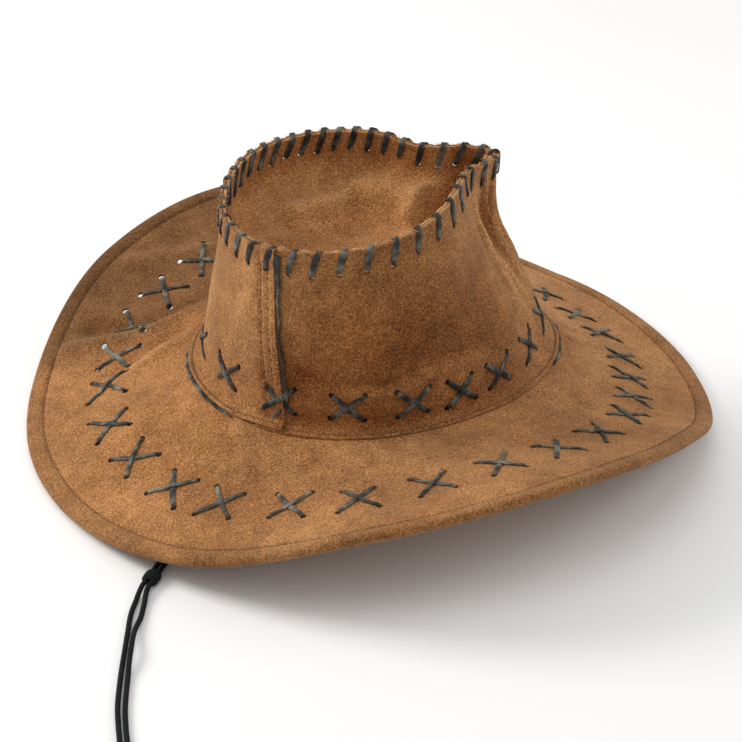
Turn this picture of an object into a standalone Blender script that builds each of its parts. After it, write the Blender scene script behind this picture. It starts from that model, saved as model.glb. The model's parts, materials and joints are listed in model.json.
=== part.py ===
"""Laced suede western hat with a braided chin cord, standing on its brim.

Sizes are in millimetres and are turned into metres when a mesh is made. +X is the front of the hat,
+Y the wearer's left, +Z up. The world origin is the bottom centre of the hat: the floor that the
front and back of the brim stand on. A "direction" is an angle round the head oval in degrees:
0 is the front, 90 the wearer's left, 180 the back, 270 the wearer's right.
"""

import math

import bmesh
import bpy
from mathutils import Vector

# Head oval: the outside of the crown wall where it meets the brim
HEAD_LENGTH = 208.0
HEAD_WIDTH = 176.0
FRONT_NARROWING = 0.05
HEAD_CENTRE = Vector((4.5, -0.1, 43.9))

SUEDE = 1.5          # thickness of the suede
GAP = 0.35           # clearance between pieces that touch on the real hat
SWEATBAND_SUEDE = 1.2

# Values at every 30 degrees round the head, starting at the front
BRIM_REACH = [94, 100, 104, 106, 107, 103, 103, 105, 106, 106, 106, 100]
HEM_CLEARANCE = [0, 1.9, 28, 57, 42, 6, -0.6, 11, 45, 56, 40, 3.8]      # above the floor, HEM_LOWEST if less
BRIM_SAG = [-9, -4, -7, -4, -9, -4, -1, -4, -6, -4, -7, -6]       # half way out, against straight
RIDGE_RADIUS = [80, 55, 58, 71, 82, 85, 88, 85, 79, 67, 55, 55]
RIDGE_HEIGHT = [109, 108, 111, 108, 104, 99, 98, 100.5, 106.5, 113.5, 118, 115.5]
WALL_PINCH = [11, 14, 9, 4, 3, 4.5, 3, 0, 0, 3, 9, 15]             # inward, at its deepest

RIDGE_CENTRE_X = -5.0
WALL_LEAN_POWER = 1.5
PINCH_POWER = 1.4           # above 1 puts the deepest pinch above half way up
BRIM_INNER_EDGE = -6.5
INNER_EDGE_SLOPE = 0.25     # the brim lies nearly flat inside the crown
BRIM_COLUMNS = 50
CROWN_STEP = 10.0
BEAK_DIRECTIONS = [345.0, 349.0, 352.5, 356.0, 359.5, 3.0, 6.5, 11.0, 15.0]

# Hem: the brim's edge folded under round a wire
HEM_FOLD_INNER = 1.4
HEM_FOLD_OUTER = HEM_FOLD_INNER + SUEDE
HEM_WIDTH = 10.0
HEM_LOWEST = -0.1           # brings the round of the fold down to the floor
HEM_THICKNESS = 2 * HEM_FOLD_OUTER
WIRE_RADIUS = 0.7
THREAD_RADIUS = 0.4

# Crown foot, the flange that lies on the brim, and the lapped back seam
FOOT_STATIONS = [8.0, 2.4]
FOOT_GAP = 0.6
FOOT_THREAD_OUT = 5.5
WALL_STATIONS = [0.045, 0.15, 0.3, 0.5, 0.7, 0.85, 1.0]
SEAM_SLANT = -10.5          # degrees that the columns of the crown strip turn from foot to ridge
SEAM_EDGE = 209.8           # this and the next five are directions half way up
SEAM_LAP = 9.0
SEAM_RAMP = 9.0
SEAM_LIFT = SUEDE + GAP
SEAM_THREADS = [203.5, 206.6]
SEAM_THREAD_ENDS = (0.27, 0.8)
SEAM_LACE = 211.5
SEAM_LACE_WAVE = 0.6
SEAM_LACE_ENDS = (0.26, 0.82)

# Crown tip
FLANGE_DEPTH = 20.0
TIP_GAP = 0.6
TIP_RINGS = [(0.93, 4.0), (0.72, 9.0), (0.42, 12.0), (0.15, 13.0)]

# Laces: flat suede straps threaded through punched holes
LACE_WIDTH = 3.2
LACE_THICKNESS = 0.9
LACE_LIFT = 0.95 + LACE_THICKNESS / 2
CROSSING_LIFTS = (0.2, 1.9)   # of the lower and the upper lace where they cross
SEAM_LACE_LIFT = LACE_LIFT + 0.3
LACE_SLOT = [(2.1, 1.3), (-2.1, 1.3), (-2.1, -1.3), (2.1, -1.3)]
HOLE_REACH = 5.0
BRIM_CROSS_DIRECTIONS = [356, 6.5, 17, 28.5, 41, 54, 68, 82, 96, 109.5, 122, 135, 146.5, 157.5,
                         172, 185.5, 199, 211, 225, 238, 252.5, 266.5, 280.5, 294, 308, 320.5, 332, 343.5]
BRIM_CROSS_OUT = [49, 50, 53, 56, 55.5, 54.5, 58, 60, 60, 60, 62, 52]     # every 30 degrees
BRIM_CROSS_HALF = (9.0, 9.5)
CROWN_CROSS_DIRECTIONS = [187, 212, 235, 256.5, 273.5, 290, 311.5, 335, 358, 21, 44, 66, 88, 110, 134, 161]
CROWN_CROSS_HEIGHT = 14.0
CROWN_CROSS_HALF = (8.5, 7.0)
WHIP_STITCHES = 40
WHIP_START = 211.0
WHIP_DEPTH = 12.5
WHIP_UNEVENNESS = 0.2
WHIP_EASE = 0.4

# Sweatband
BAND_GAP = 3.2
BAND_HEIGHTS = [9.0, 20.0, 32.0]
POCKET_DEPTH = 5.4
POCKET_WIDTH = 14.0
POCKET_DIRECTIONS = [90.0, 270.0]
CORD_HOLE_HEIGHT = 14.0
CORD_HOLE_RADIUS = 2.7
BAND_FOOT_GAP = 0.65
BAND_FOOT_OUT = -5.5
BAND_THREAD_HEIGHT = 6.0

# Chin cord. Route points are in world millimetres, from the sweatband to the end knot
CORD_RADIUS = 1.5
CORD_SEGMENTS = 38
CORD_LEFT_ROUTE = [
    (4.5, 77.4, 58), (4.5, 71.5, 58), (4.4, 66, 57), (3.5, 62.5, 52), (1, 61.5, 44), (-2, 61, 30),
    (-6, 60.5, 15),
    (-13, 58, 4.5), (-27, 50, 1.5), (-52, 33, 1.5), (-80, 8, 1.5), (-106, -22, 1.8), (-126, -44, 2.9),
    (-142, -59.2, 3), (-160, -75.4, 3), (-183, -96.1, 3), (-190.2, -102.8, 3), (-197, -111, 1.5),
    (-203.5, -120, 1.5), (-211.2, -133.9, 1.5), (-217.8, -146, 1.5), (-226.1, -161.2, 1.5),
    (-236.1, -181.2, 1.5), (-241.4, -194.7, 1.5), (-245.4, -206.1, 1.5), (-250.5, -220, 1.6),
    (-254, -229.5, 2.6)]
CORD_RIGHT_ROUTE = [
    (4.5, -77.4, 58), (4.5, -71.5, 58), (4.8, -66, 57), (6, -62.5, 52), (9, -61.5, 44), (14, -60, 30),
    (20, -57, 15),
    (26, -51, 4.5), (25, -44, 1.5), (12, -36, 1.5), (-8, -33, 1.5), (-30, -35, 1.5), (-60, -40, 1.5),
    (-92, -45, 1.8), (-121, -50, 2.9), (-139.7, -61.7, 3), (-157.7, -77.9, 3), (-180.7, -98.6, 3),
    (-187.9, -105.3, 3), (-193, -113.5, 1.8), (-199.6, -124, 1.7), (-207.5, -134.5, 3), (-213.6, -145.5, 4.4),
    (-219, -155.2, 3.4), (-223.5, -164, 1.8), (-232.9, -183, 1.5), (-238.2, -196.1, 1.5), (-242.1, -207.4, 1.5),
    (-246.2, -221.2, 1.6), (-248.6, -231, 1.6), (-251, -240, 2.6)]
KNOT_RADIUS = 2.9
SLIDER_CENTRE = Vector((-182.0, -97.5, 3.0))
SLIDER_HEADING = 42.0
SLIDER_LENGTH = 11.0
SLIDER_OUTER = (4.7, 2.9)
SLIDER_END = (4.2, 2.45)
SLIDER_HOLE = (3.75, 2.1)

SUEDE_TAN = (0.42, 0.19, 0.075)
SUEDE_INSIDE = (0.30, 0.14, 0.06)
LACE_GREY = (0.045, 0.048, 0.05)
THREAD_BROWN = (0.16, 0.07, 0.03)
CORD_BLACK = (0.01, 0.012, 0.014)
WIRE_STEEL = (0.55, 0.55, 0.55)


# ---------------------------------------------------------------- shape of the hat

def around(values, direction):
    """Read a smooth closed curve through values spaced evenly round the head."""
    place = (direction / 360.0) % 1.0 * len(values)
    index = int(place)
    part = place - index
    before, first, second, after = (values[(index + k) % len(values)] for k in (-1, 0, 1, 2))
    slope_first = (second - before) / 2
    slope_second = (after - first) / 2
    return ((2 * part**3 - 3 * part**2 + 1) * first + (part**3 - 2 * part**2 + part) * slope_first
            + (3 * part**2 - 2 * part**3) * second + (part**3 - part**2) * slope_second)


def oval(direction, out=0.0):
    """A point of the head oval, moved outward by out, as x and y from the head's centre."""
    angle = math.radians(direction)
    half_width = HEAD_WIDTH / 2 * (1 - FRONT_NARROWING * math.cos(angle))
    x = HEAD_LENGTH / 2 * math.cos(angle)
    y = half_width * math.sin(angle)
    slope_x = -HEAD_LENGTH / 2 * math.sin(angle)
    slope_y = half_width * math.cos(angle) + HEAD_WIDTH / 2 * FRONT_NARROWING * math.sin(angle)**2
    size = math.hypot(slope_x, slope_y)
    return x + slope_y / size * out, y - slope_x / size * out


def brim_top(direction, out):
    """A point of the brim's upper face, out millimetres from the head oval."""
    share = out / around(BRIM_REACH, direction)
    rim = max(around(HEM_CLEARANCE, direction), HEM_LOWEST) + HEM_THICKNESS - HEAD_CENTRE.z
    x, y = oval(direction, out)
    height = rim * share + 4 * around(BRIM_SAG, direction) * share * (1 - share)
    if out < 0:
        height *= INNER_EDGE_SLOPE
    return Vector((x, y, height))


def ridge(direction):
    """The outer top edge of the crown."""
    angle = math.radians(direction)
    radius = around(RIDGE_RADIUS, direction)
    x = RIDGE_CENTRE_X + radius * math.cos(angle)
    return Vector((x, radius * math.sin(angle), around(RIDGE_HEIGHT, direction)))


def wall(direction, share):
    """A point of the crown wall's outer face, share of the way from the brim to the ridge."""
    top = ridge(direction)
    x, y = oval(direction)
    above = max(share, 0.0)
    lean = above**WALL_LEAN_POWER
    pinch = around(WALL_PINCH, direction) * math.sin(math.pi * above**PINCH_POWER)
    inner_x, inner_y = oval(direction, -pinch)
    return Vector((inner_x + (top.x - x) * lean, inner_y + (top.y - y) * lean, top.z * share))


def normal_of(surface, direction, place, step):
    """Outward normal of surface(direction, place) from small steps both ways."""
    along = surface(direction + 0.5, place) - surface(direction - 0.5, place)
    up = surface(direction, place + step) - surface(direction, place - step)
    return along.cross(up).normalized()


def wall_normal(direction, share):
    return normal_of(wall, direction, share, 0.01)


def brim_normal(direction, out):
    return -normal_of(brim_top, direction, out, 0.5)


def seam_lift(turn):
    """How far the outer end of the crown strip stands off, for a turn counted past one round."""
    ramp_start = SEAM_EDGE + 360 - SEAM_LAP - SEAM_RAMP
    share = min(max((turn - ramp_start) / SEAM_RAMP, 0.0), 1.0)
    return SEAM_LIFT * share * share * (3 - 2 * share)


def column(turn, share):
    """The direction of a slanted column of the crown strip at a height."""
    return turn + SEAM_SLANT * (share - 0.5)


def outside_turn(direction, share):
    """The turn of the outermost layer of the crown strip at a place on the wall."""
    turn = (direction - SEAM_SLANT * (share - 0.5)) % 360.0
    return turn + 360.0 if turn < SEAM_EDGE else turn


def crown_outside(direction, share, lift=0.0):
    """A point off the outermost face of the crown wall."""
    stand_off = seam_lift(outside_turn(direction, share)) + lift
    return wall(direction, share) + wall_normal(direction, share) * stand_off


def spread(first, last, count):
    """Evenly spaced values from first to last."""
    return [first + (last - first) * k / (count - 1) for k in range(count)]


def even_directions(curve, count, start, pitch=lambda direction: 1.0):
    """Directions that step along a closed curve, each step in proportion to pitch."""
    steps = 1440
    lengths = [0.0]
    for k in range(steps):
        here = start + 360.0 * k / steps
        there = start + 360.0 * (k + 1) / steps
        lengths.append(lengths[-1] + (curve(there) - curve(here)).length / pitch(here))
    found = []
    k = 0
    for number in range(count):
        wanted = lengths[-1] * number / count
        while lengths[k + 1] < wanted:
            k += 1
        found.append(start + 360.0 * k / steps)
    return found


# ---------------------------------------------------------------- making objects

def material(name, colour, roughness, metallic=0.0):
    made = bpy.data.materials.new(name)
    made.use_nodes = True
    shader = made.node_tree.nodes["Principled BSDF"]
    shader.inputs["Base Color"].default_value = (*colour, 1.0)
    shader.inputs["Roughness"].default_value = roughness
    shader.inputs["Metallic"].default_value = metallic
    return made


def add_object(name, mesh_builder, look, smooth=True):
    """Turn a bmesh in head millimetres into an object in world metres."""
    for vertex in mesh_builder.verts:
        vertex.co = (vertex.co + HEAD_CENTRE) * 0.001
    bmesh.ops.recalc_face_normals(mesh_builder, faces=mesh_builder.faces)
    mesh = bpy.data.meshes.new(name)
    mesh_builder.to_mesh(mesh)
    mesh_builder.free()
    made = bpy.data.objects.new(name, mesh)
    bpy.context.scene.collection.objects.link(made)
    mesh.materials.append(look)
    if smooth:
        mesh.shade_smooth()
        mesh.set_sharp_from_angle(angle=math.radians(50))
    return made


def loft(sections, closed):
    """Join closed sections of equal count, round to the first again or with capped ends."""
    builder = bmesh.new()
    rings = [[builder.verts.new(point) for point in section] for section in sections]
    count = len(rings[0])
    last = len(rings) if closed else len(rings) - 1
    for index in range(last):
        ring, following = rings[index], rings[(index + 1) % len(rings)]
        for k in range(count):
            j = (k + 1) % count
            builder.faces.new((ring[k], ring[j], following[j], following[k]))
    if not closed:
        builder.faces.new(rings[0])
        builder.faces.new(list(reversed(rings[-1])))
    return builder


def tube_sections(points, radius, closed, sides=4):
    """Round sections along a path."""
    sections = []
    count = len(points)
    for index, point in enumerate(points):
        before = points[index - 1] if closed or index else point
        after = points[(index + 1) % count] if closed or index < count - 1 else point
        along = (after - before).normalized()
        side = along.cross(Vector((0, 0, 1)))
        side = side.normalized() if side.length > 0.1 else along.cross(Vector((1, 0, 0))).normalized()
        over = side.cross(along)
        turns = [2 * math.pi * (k + 0.5) / sides for k in range(sides)]
        sections.append([point + (side * math.cos(a) + over * math.sin(a)) * radius for a in turns])
    return sections


def strap_sections(stations, closed):
    """Rectangular sections along a lace. A station is its point and its width direction."""
    sections = []
    count = len(stations)
    for index, (point, across) in enumerate(stations):
        before = stations[index - 1][0] if closed or index else point
        after = stations[(index + 1) % count][0] if closed or index < count - 1 else point
        arriving = (point - before).normalized()
        leaving = (after - point).normalized()
        along = (arriving + leaving).normalized()
        half_turn_cosine = max(along.dot(arriving), along.dot(leaving), 0.6)
        across = (across - along * across.dot(along)).normalized()
        through = across.cross(along) * (LACE_THICKNESS / 2 / half_turn_cosine)
        edge = across * LACE_WIDTH / 2
        sections.append([point + edge + through, point - edge + through,
                         point - edge - through, point + edge - through])
    return sections


def pierce(target, holes, outline):
    """Cut holes through a sheet. A hole is its centre, width direction and axis."""
    builder = bmesh.new()
    count = len(outline)
    for centre, across, axis in holes:
        across = across.normalized()
        axis = axis.normalized()
        up = axis.cross(across).normalized()
        near, far = ([builder.verts.new(centre + across * a + up * b + axis * end) for a, b in outline]
                     for end in (-HOLE_REACH, HOLE_REACH))
        for k in range(count):
            j = (k + 1) % count
            builder.faces.new((near[k], near[j], far[j], far[k]))
        builder.faces.new(list(reversed(near)))
        builder.faces.new(far)
    cutter = add_object(target.name + "_holes", builder, target.data.materials[0], smooth=False)
    cutter.hide_render = True
    cutter.display_type = "WIRE"
    cut = target.modifiers.new("Holes", "BOOLEAN")
    cut.operation = "DIFFERENCE"
    cut.object = cutter


# ---------------------------------------------------------------- brim

def brim_section(direction):
    """Closed outline of the brim sheet with its folded hem."""
    reach = around(BRIM_REACH, direction)
    flat = [BRIM_INNER_EDGE, 0.0, 9.0, 28.0, 48.0, 66.0, reach - HEM_WIDTH]
    down = Vector((0, 0, -1))
    centre_out = reach - HEM_FOLD_OUTER
    centre = brim_top(direction, centre_out) + down * HEM_FOLD_OUTER
    outward = (brim_top(direction, reach) - brim_top(direction, centre_out))
    outward = Vector((outward.x, outward.y, 0)).normalized()

    def fold(radius, degrees):
        turn = math.radians(degrees)
        return centre + outward * radius * math.cos(turn) - down * radius * math.sin(turn)

    top = [brim_top(direction, out) for out in flat]
    outer_fold = [fold(HEM_FOLD_OUTER, a) for a in (90, 30, -30, -90)]
    hem_end = [top[-1] + down * HEM_THICKNESS, top[-1] + down * (HEM_THICKNESS - SUEDE)]
    inner_fold = [fold(HEM_FOLD_INNER, a) for a in (-90, 0, 90)]
    bottom = [point + down * SUEDE for point in reversed(top)]
    return top + outer_fold + hem_end + inner_fold + bottom


def brim_lace_surface(direction, side_out, lift):
    out = around(BRIM_CROSS_OUT, direction) + side_out
    return brim_top(direction, out) + brim_normal(direction, out) * lift


def crown_lace_surface(direction, side_up, lift):
    share = (CROWN_CROSS_HEIGHT + side_up) / around(RIDGE_HEIGHT, direction)
    return crown_outside(direction, share, lift)


def cross_lace(surface, inside_lift, directions, halves, first, crossing_lift):
    """Stations of one of the two closed laces that make a row of crosses.

    On the face it makes one arm of each cross, slanting up in one and down in the next. Behind,
    it makes a short dash to the next cross. first is -1 or 1: the level its first arm starts from.
    """
    half_along, half_side = halves
    level = first
    stations = []
    holes = []
    count = len(directions)
    for k, middle in enumerate(directions):
        step = half_along / (surface(middle + 0.5, 0, 0) - surface(middle - 0.5, 0, 0)).length
        start, end = middle - step, middle + step
        entry = surface(start, half_side * level, LACE_LIFT)
        leave = surface(end, -half_side * level, LACE_LIFT)
        arm = (leave - entry).normalized()
        normal = (entry - surface(start, half_side * level, 0)).normalized()
        across_arm = arm.cross(normal).normalized()
        dash = (surface(end, 0, 0) - surface(start, 0, 0)).normalized()
        if arm.dot(dash) < 0:
            dash = -dash
        across_hole = (arm + dash).cross(normal).normalized()
        stations += [(surface(start, half_side * level, inside_lift(start)), across_hole),
                     (entry, across_hole),
                     (surface(middle, 0, LACE_LIFT + crossing_lift), across_arm),
                     (leave, across_hole),
                     (surface(end, -half_side * level, inside_lift(end)), across_hole)]
        for direction, side in ((start, half_side * level), (end, -half_side * level)):
            outside, inside = surface(direction, side, 1.0), surface(direction, side, -1.0)
            holes.append(((outside + inside) / 2, across_hole, outside - inside))
        level = -level
    return stations, holes


def brim_row(level, crossing):
    return cross_lace(brim_lace_surface, lambda direction: -SUEDE - LACE_LIFT, BRIM_CROSS_DIRECTIONS,
                      BRIM_CROSS_HALF, level, crossing)


def crown_row(level, crossing):
    def behind(direction):
        """The back of the crown wall, or of both its layers at the lap."""
        share = CROWN_CROSS_HEIGHT / around(RIDGE_HEIGHT, direction)
        return -SUEDE - LACE_LIFT - seam_lift(outside_turn(direction, share))
    return cross_lace(crown_lace_surface, behind, CROWN_CROSS_DIRECTIONS, CROWN_CROSS_HALF,
                      level, crossing)


def make_brim(suede, wire_look, thread_look, lace_look):
    directions = even_directions(lambda d: brim_top(d, 60.0), BRIM_COLUMNS, 0.0)
    brim = add_object("brim", loft([brim_section(d) for d in directions], True), suede)
    holes = []
    for name, level, crossing in zip(("brim_lace_a", "brim_lace_b"), (1, -1), CROSSING_LIFTS):
        stations, found = brim_row(level, crossing)
        holes += found
        add_object(name, loft(strap_sections(stations, True), True), lace_look, smooth=False)
    pierce(brim, holes, LACE_SLOT)

    wire_path = []
    stitch_path = []
    for direction in directions:
        reach = around(BRIM_REACH, direction)
        wire_path.append(brim_top(direction, reach - HEM_FOLD_OUTER) - Vector((0, 0, HEM_FOLD_OUTER)))
        lift = THREAD_RADIUS + GAP
        stitch_path.append(brim_top(direction, reach - HEM_WIDTH) + Vector((0, 0, lift)))
    add_object("brim_wire", loft(tube_sections(wire_path, WIRE_RADIUS, True, 6), True), wire_look)
    add_object("brim_hem_thread", loft(tube_sections(stitch_path, THREAD_RADIUS, True), True), thread_look)


# ---------------------------------------------------------------- crown

def foot(turn, out):
    """A point of the upper face of the flange that lies on the brim."""
    return brim_top(column(turn, 0.0), out) + Vector((0, 0, FOOT_GAP + SUEDE + seam_lift(turn)))


def crown_side_section(turn):
    """Closed outline of the crown strip from its flange on the brim up to the ridge."""
    outer = [foot(turn, out) for out in FOOT_STATIONS]
    inner = [point - Vector((0, 0, SUEDE)) for point in outer]
    lift = seam_lift(turn)
    for share in WALL_STATIONS:
        direction = column(turn, share)
        point, normal = wall(direction, share), wall_normal(direction, share)
        outer.append(point + normal * lift)
        inner.append(point + normal * (lift - SUEDE))
    return outer + list(reversed(inner))


def whip_directions():
    def pitch(direction):
        return 1 - WHIP_UNEVENNESS * math.sin(math.radians(direction))
    return even_directions(ridge, WHIP_STITCHES, WHIP_START, pitch)


def crown_turns():
    """Turns of the crown strip's columns, from its hidden end to its outer edge past one round."""
    start = SEAM_EDGE - SEAM_LAP
    end = start + 360.0
    count = round((end - SEAM_RAMP - SEAM_EDGE) / CROWN_STEP)
    turns = [start] + [SEAM_EDGE + (end - SEAM_RAMP - SEAM_EDGE) * k / count for k in range(count + 1)]
    turns += [end - SEAM_RAMP / 2, end, end + SEAM_LAP]
    for direction in BEAK_DIRECTIONS:
        turns.append(start + (direction - column(start, 1.0)) % 360.0)
    return sorted(turns)


def ridge_inside_depth():
    """From the outer face of the wall to the inner face of the tip's flange."""
    return 2 * SUEDE + TIP_GAP


def whip_stations():
    """The lace overcast round the ridge, and the holes that it goes through."""
    stations = []
    holes = []
    directions = whip_directions()
    for k, direction in enumerate(directions):
        following = directions[(k + 1) % len(directions)]
        hole_share = 1 - WHIP_DEPTH / ridge(direction).z
        next_share = 1 - WHIP_DEPTH / ridge(following).z
        along = (ridge(direction + 1) - ridge(direction - 1)).normalized()
        next_along = (ridge(following + 1) - ridge(following - 1)).normalized()
        above = Vector((0, 0, LACE_LIFT))
        behind = ridge_inside_depth() + LACE_LIFT + WHIP_EASE
        next_lift = -seam_lift(outside_turn(following, next_share)) - behind
        inside_lift = -seam_lift(outside_turn(direction, 1.0)) - behind
        half_way = direction + (following - direction) % 360.0 / 2
        middle_lift = (inside_lift + next_lift) / 2
        stations += [(crown_outside(direction, hole_share, LACE_LIFT), along),
                     (crown_outside(direction, 1.0, LACE_LIFT) + above, along),
                     (crown_outside(direction, 1.0, inside_lift) + above, along),
                     (crown_outside(half_way, (1 + next_share) / 2, middle_lift), along),
                     (crown_outside(following, next_share, next_lift), next_along)]
        outside = crown_outside(direction, hole_share, 1.0)
        inside = crown_outside(direction, hole_share, -4.0)
        holes.append(((outside + inside) / 2, along, outside - inside))
    return stations, holes


def tip_rings():
    """Rings of the tip from its sunken middle, up its flange, and back below."""
    turns = [turn for turn in crown_turns() if turn < SEAM_EDGE + 360 - SEAM_LAP]
    face = SUEDE + TIP_GAP
    flange = []
    for turn in turns:
        direction = column(turn, 1.0)
        share = 1 - FLANGE_DEPTH / ridge(direction).z
        low_direction = column(turn, share)
        top = wall(direction, 1.0), wall_normal(direction, 1.0)
        low = wall(low_direction, share), wall_normal(low_direction, share)
        flange.append([top[0] - top[1] * face, top[0] - top[1] * (face + SUEDE),
                       low[0] - low[1] * face, low[0] - low[1] * (face + SUEDE)])
    middle = Vector((RIDGE_CENTRE_X + 5, 0, sum(low[3].z for low in flange) / len(flange)))
    panel = []
    for scale, drop in TIP_RINGS:
        ring = [middle.lerp(low[3], scale) - Vector((0, 0, drop)) for low in flange]
        panel.append(ring)
    inner = list(reversed(panel)) + [[low[3] for low in flange], [low[1] for low in flange]]
    outer = [[low[0] for low in flange], [low[2] for low in flange]]
    outer += [[point - Vector((0, 0, SUEDE)) for point in ring] for ring in panel]
    return inner + outer


def make_crown(suede, thread_look, lace_look):
    sections = [crown_side_section(turn) for turn in crown_turns()]
    side = add_object("crown_side", loft(sections, False), suede)
    tip = add_object("crown_tip", loft(tip_rings(), False), suede)

    whip, whip_holes = whip_stations()
    add_object("crown_tip_lace", loft(strap_sections(whip, True), True), lace_look, smooth=False)
    holes = []
    for name, level, crossing in zip(("crown_foot_lace_a", "crown_foot_lace_b"), (1, -1), CROSSING_LIFTS):
        stations, found = crown_row(level, crossing)
        holes += found
        add_object(name, loft(strap_sections(stations, True), True), lace_look, smooth=False)
    pierce(side, holes + whip_holes, LACE_SLOT)
    pierce(tip, whip_holes, LACE_SLOT)

    foot_path = []
    for turn in spread(SEAM_EDGE + 1.0, SEAM_EDGE + 359.0, 49):
        foot_path.append(foot(turn, FOOT_THREAD_OUT) + Vector((0, 0, THREAD_RADIUS + GAP)))
    add_object("crown_foot_thread", loft(tube_sections(foot_path, THREAD_RADIUS, False), False),
               thread_look)

    for number, direction in enumerate(SEAM_THREADS, 1):
        path = []
        for share in spread(*SEAM_THREAD_ENDS, 9):
            path.append(crown_outside(column(direction, share), share, THREAD_RADIUS + GAP))
        add_object(f"back_seam_thread_{number}", loft(tube_sections(path, THREAD_RADIUS, False), False),
                   thread_look)

    seam_lace = []
    for k, share in enumerate(spread(*SEAM_LACE_ENDS, 11)):
        direction = column(SEAM_LACE, share) + SEAM_LACE_WAVE * math.sin(math.pi * k / 5)
        across = wall(direction + 1, share) - wall(direction - 1, share)
        seam_lace.append((crown_outside(direction, share, SEAM_LACE_LIFT), across.normalized()))
    add_object("back_seam_lace", loft(strap_sections(seam_lace, False), False), lace_look, smooth=False)


# ---------------------------------------------------------------- sweatband

def pocket(direction):
    """How far the sweatband stands off the wall to make room for a stopper knot."""
    deepest = 0.0
    for middle in POCKET_DIRECTIONS:
        away = (direction - middle + 180) % 360 - 180
        deepest = max(deepest, POCKET_DEPTH * math.exp(-(away / POCKET_WIDTH)**2))
    return deepest


def band_point(direction, height, depth):
    """A point of the sweatband, depth inward of its outer face."""
    share = height / around(RIDGE_HEIGHT, direction)
    rise = min(height / CORD_HOLE_HEIGHT, 1.0)
    stand_off = SUEDE + BAND_GAP + pocket(direction) * rise
    return wall(direction, share) - wall_normal(direction, share) * (stand_off + depth)


def make_sweatband(leather, thread_look):
    sections = []
    stitch_path = []
    for direction in spread(0.0, 352.5, 48):
        foot_height = brim_top(direction, BAND_FOOT_OUT).z + BAND_FOOT_GAP
        heights = [max(foot_height, BAND_FOOT_GAP)] + BAND_HEIGHTS
        outer = [band_point(direction, height, 0.0) for height in heights]
        inner = [band_point(direction, height, SWEATBAND_SUEDE) for height in heights]
        outer[0].z = inner[0].z = foot_height
        sections.append(outer + list(reversed(inner)))
        depth = SWEATBAND_SUEDE + THREAD_RADIUS + GAP
        stitch_path.append(band_point(direction, BAND_THREAD_HEIGHT, depth))
    band = add_object("sweatband", loft(sections, True), leather)
    holes = []
    for direction in POCKET_DIRECTIONS:
        side = math.sin(math.radians(direction))
        centre = Vector((0, band_point(direction, CORD_HOLE_HEIGHT, 0.0).length * side, CORD_HOLE_HEIGHT))
        holes.append((centre, Vector((1, 0, 0)), Vector((0, 1, 0))))
    turns = [math.pi * k / 4 for k in range(8)]
    pierce(band, holes, [(CORD_HOLE_RADIUS * math.cos(a), CORD_HOLE_RADIUS * math.sin(a)) for a in turns])
    add_object("sweatband_thread", loft(tube_sections(stitch_path, THREAD_RADIUS, True), True),
               thread_look)


# ---------------------------------------------------------------- chin cord

def smooth_route(points, count):
    """Evenly spaced points along a smooth curve through the route's own points."""
    points = [Vector(point) for point in points]
    dense = []
    for k in range(len(points) - 1):
        before = points[max(k - 1, 0)]
        after = points[min(k + 2, len(points) - 1)]
        first, second = points[k], points[k + 1]
        for step in range(24):
            part = step / 24
            slope_first = (second - before) / 2
            slope_second = (after - first) / 2
            dense.append(first * (2 * part**3 - 3 * part**2 + 1) + slope_first * (part**3 - 2 * part**2 + part)
                         + second * (3 * part**2 - 2 * part**3) + slope_second * (part**3 - part**2))
    dense.append(points[-1])
    lengths = [0.0]
    for k in range(len(dense) - 1):
        lengths.append(lengths[-1] + (dense[k + 1] - dense[k]).length)
    found = []
    k = 0
    for number in range(count + 1):
        wanted = lengths[-1] * number / count
        while k < len(dense) - 2 and lengths[k + 1] < wanted:
            k += 1
        part = (wanted - lengths[k]) / (lengths[k + 1] - lengths[k])
        point = dense[k].lerp(dense[k + 1], min(part, 1.0))
        point.z = max(point.z, CORD_RADIUS)
        found.append(point)
    return found, lengths[-1]


def add_cord(name, route, look):
    points, length = smooth_route(route, CORD_SEGMENTS)
    curve = bpy.data.curves.new(name, "CURVE")
    curve.dimensions = "3D"
    curve.bevel_depth = CORD_RADIUS * 0.001
    curve.bevel_resolution = 2
    curve.use_fill_caps = True
    spline = curve.splines.new("POLY")
    spline.points.add(len(points) - 1)
    for target, point in zip(spline.points, points):
        target.co = (*(point * 0.001), 1.0)
    cord = bpy.data.objects.new(name, curve)
    curve.materials.append(look)
    bpy.context.scene.collection.objects.link(cord)
    print(name, "length", round(length, 1), "mm")
    return points


def add_knot(name, centre, look):
    """A tight round stopper knot."""
    builder = bmesh.new()
    bmesh.ops.create_uvsphere(builder, u_segments=8, v_segments=6, radius=KNOT_RADIUS)
    for vertex in builder.verts:
        vertex.co = vertex.co + centre - HEAD_CENTRE
    add_object(name, builder, look)


def make_slider(look):
    """The sliding knot: an oval sleeve round both strands."""
    heading = math.radians(SLIDER_HEADING)
    along = Vector((math.cos(heading), math.sin(heading), 0))
    side = Vector((-math.sin(heading), math.cos(heading), 0))
    up = Vector((0, 0, 1))
    profile = [(-0.5, SLIDER_HOLE), (-0.5, SLIDER_END), (-0.3, SLIDER_OUTER), (0.3, SLIDER_OUTER),
               (0.5, SLIDER_END), (0.5, SLIDER_HOLE)]
    sections = []
    for place, (half_width, half_height) in profile:
        ring = []
        for k in range(16):
            angle = 2 * math.pi * k / 16
            shift = side * half_width * math.cos(angle) + up * half_height * math.sin(angle)
            ring.append(SLIDER_CENTRE + along * SLIDER_LENGTH * place + shift - HEAD_CENTRE)
        sections.append(ring)
    add_object("cord_slider_knot", loft(sections, True), look)


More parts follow.
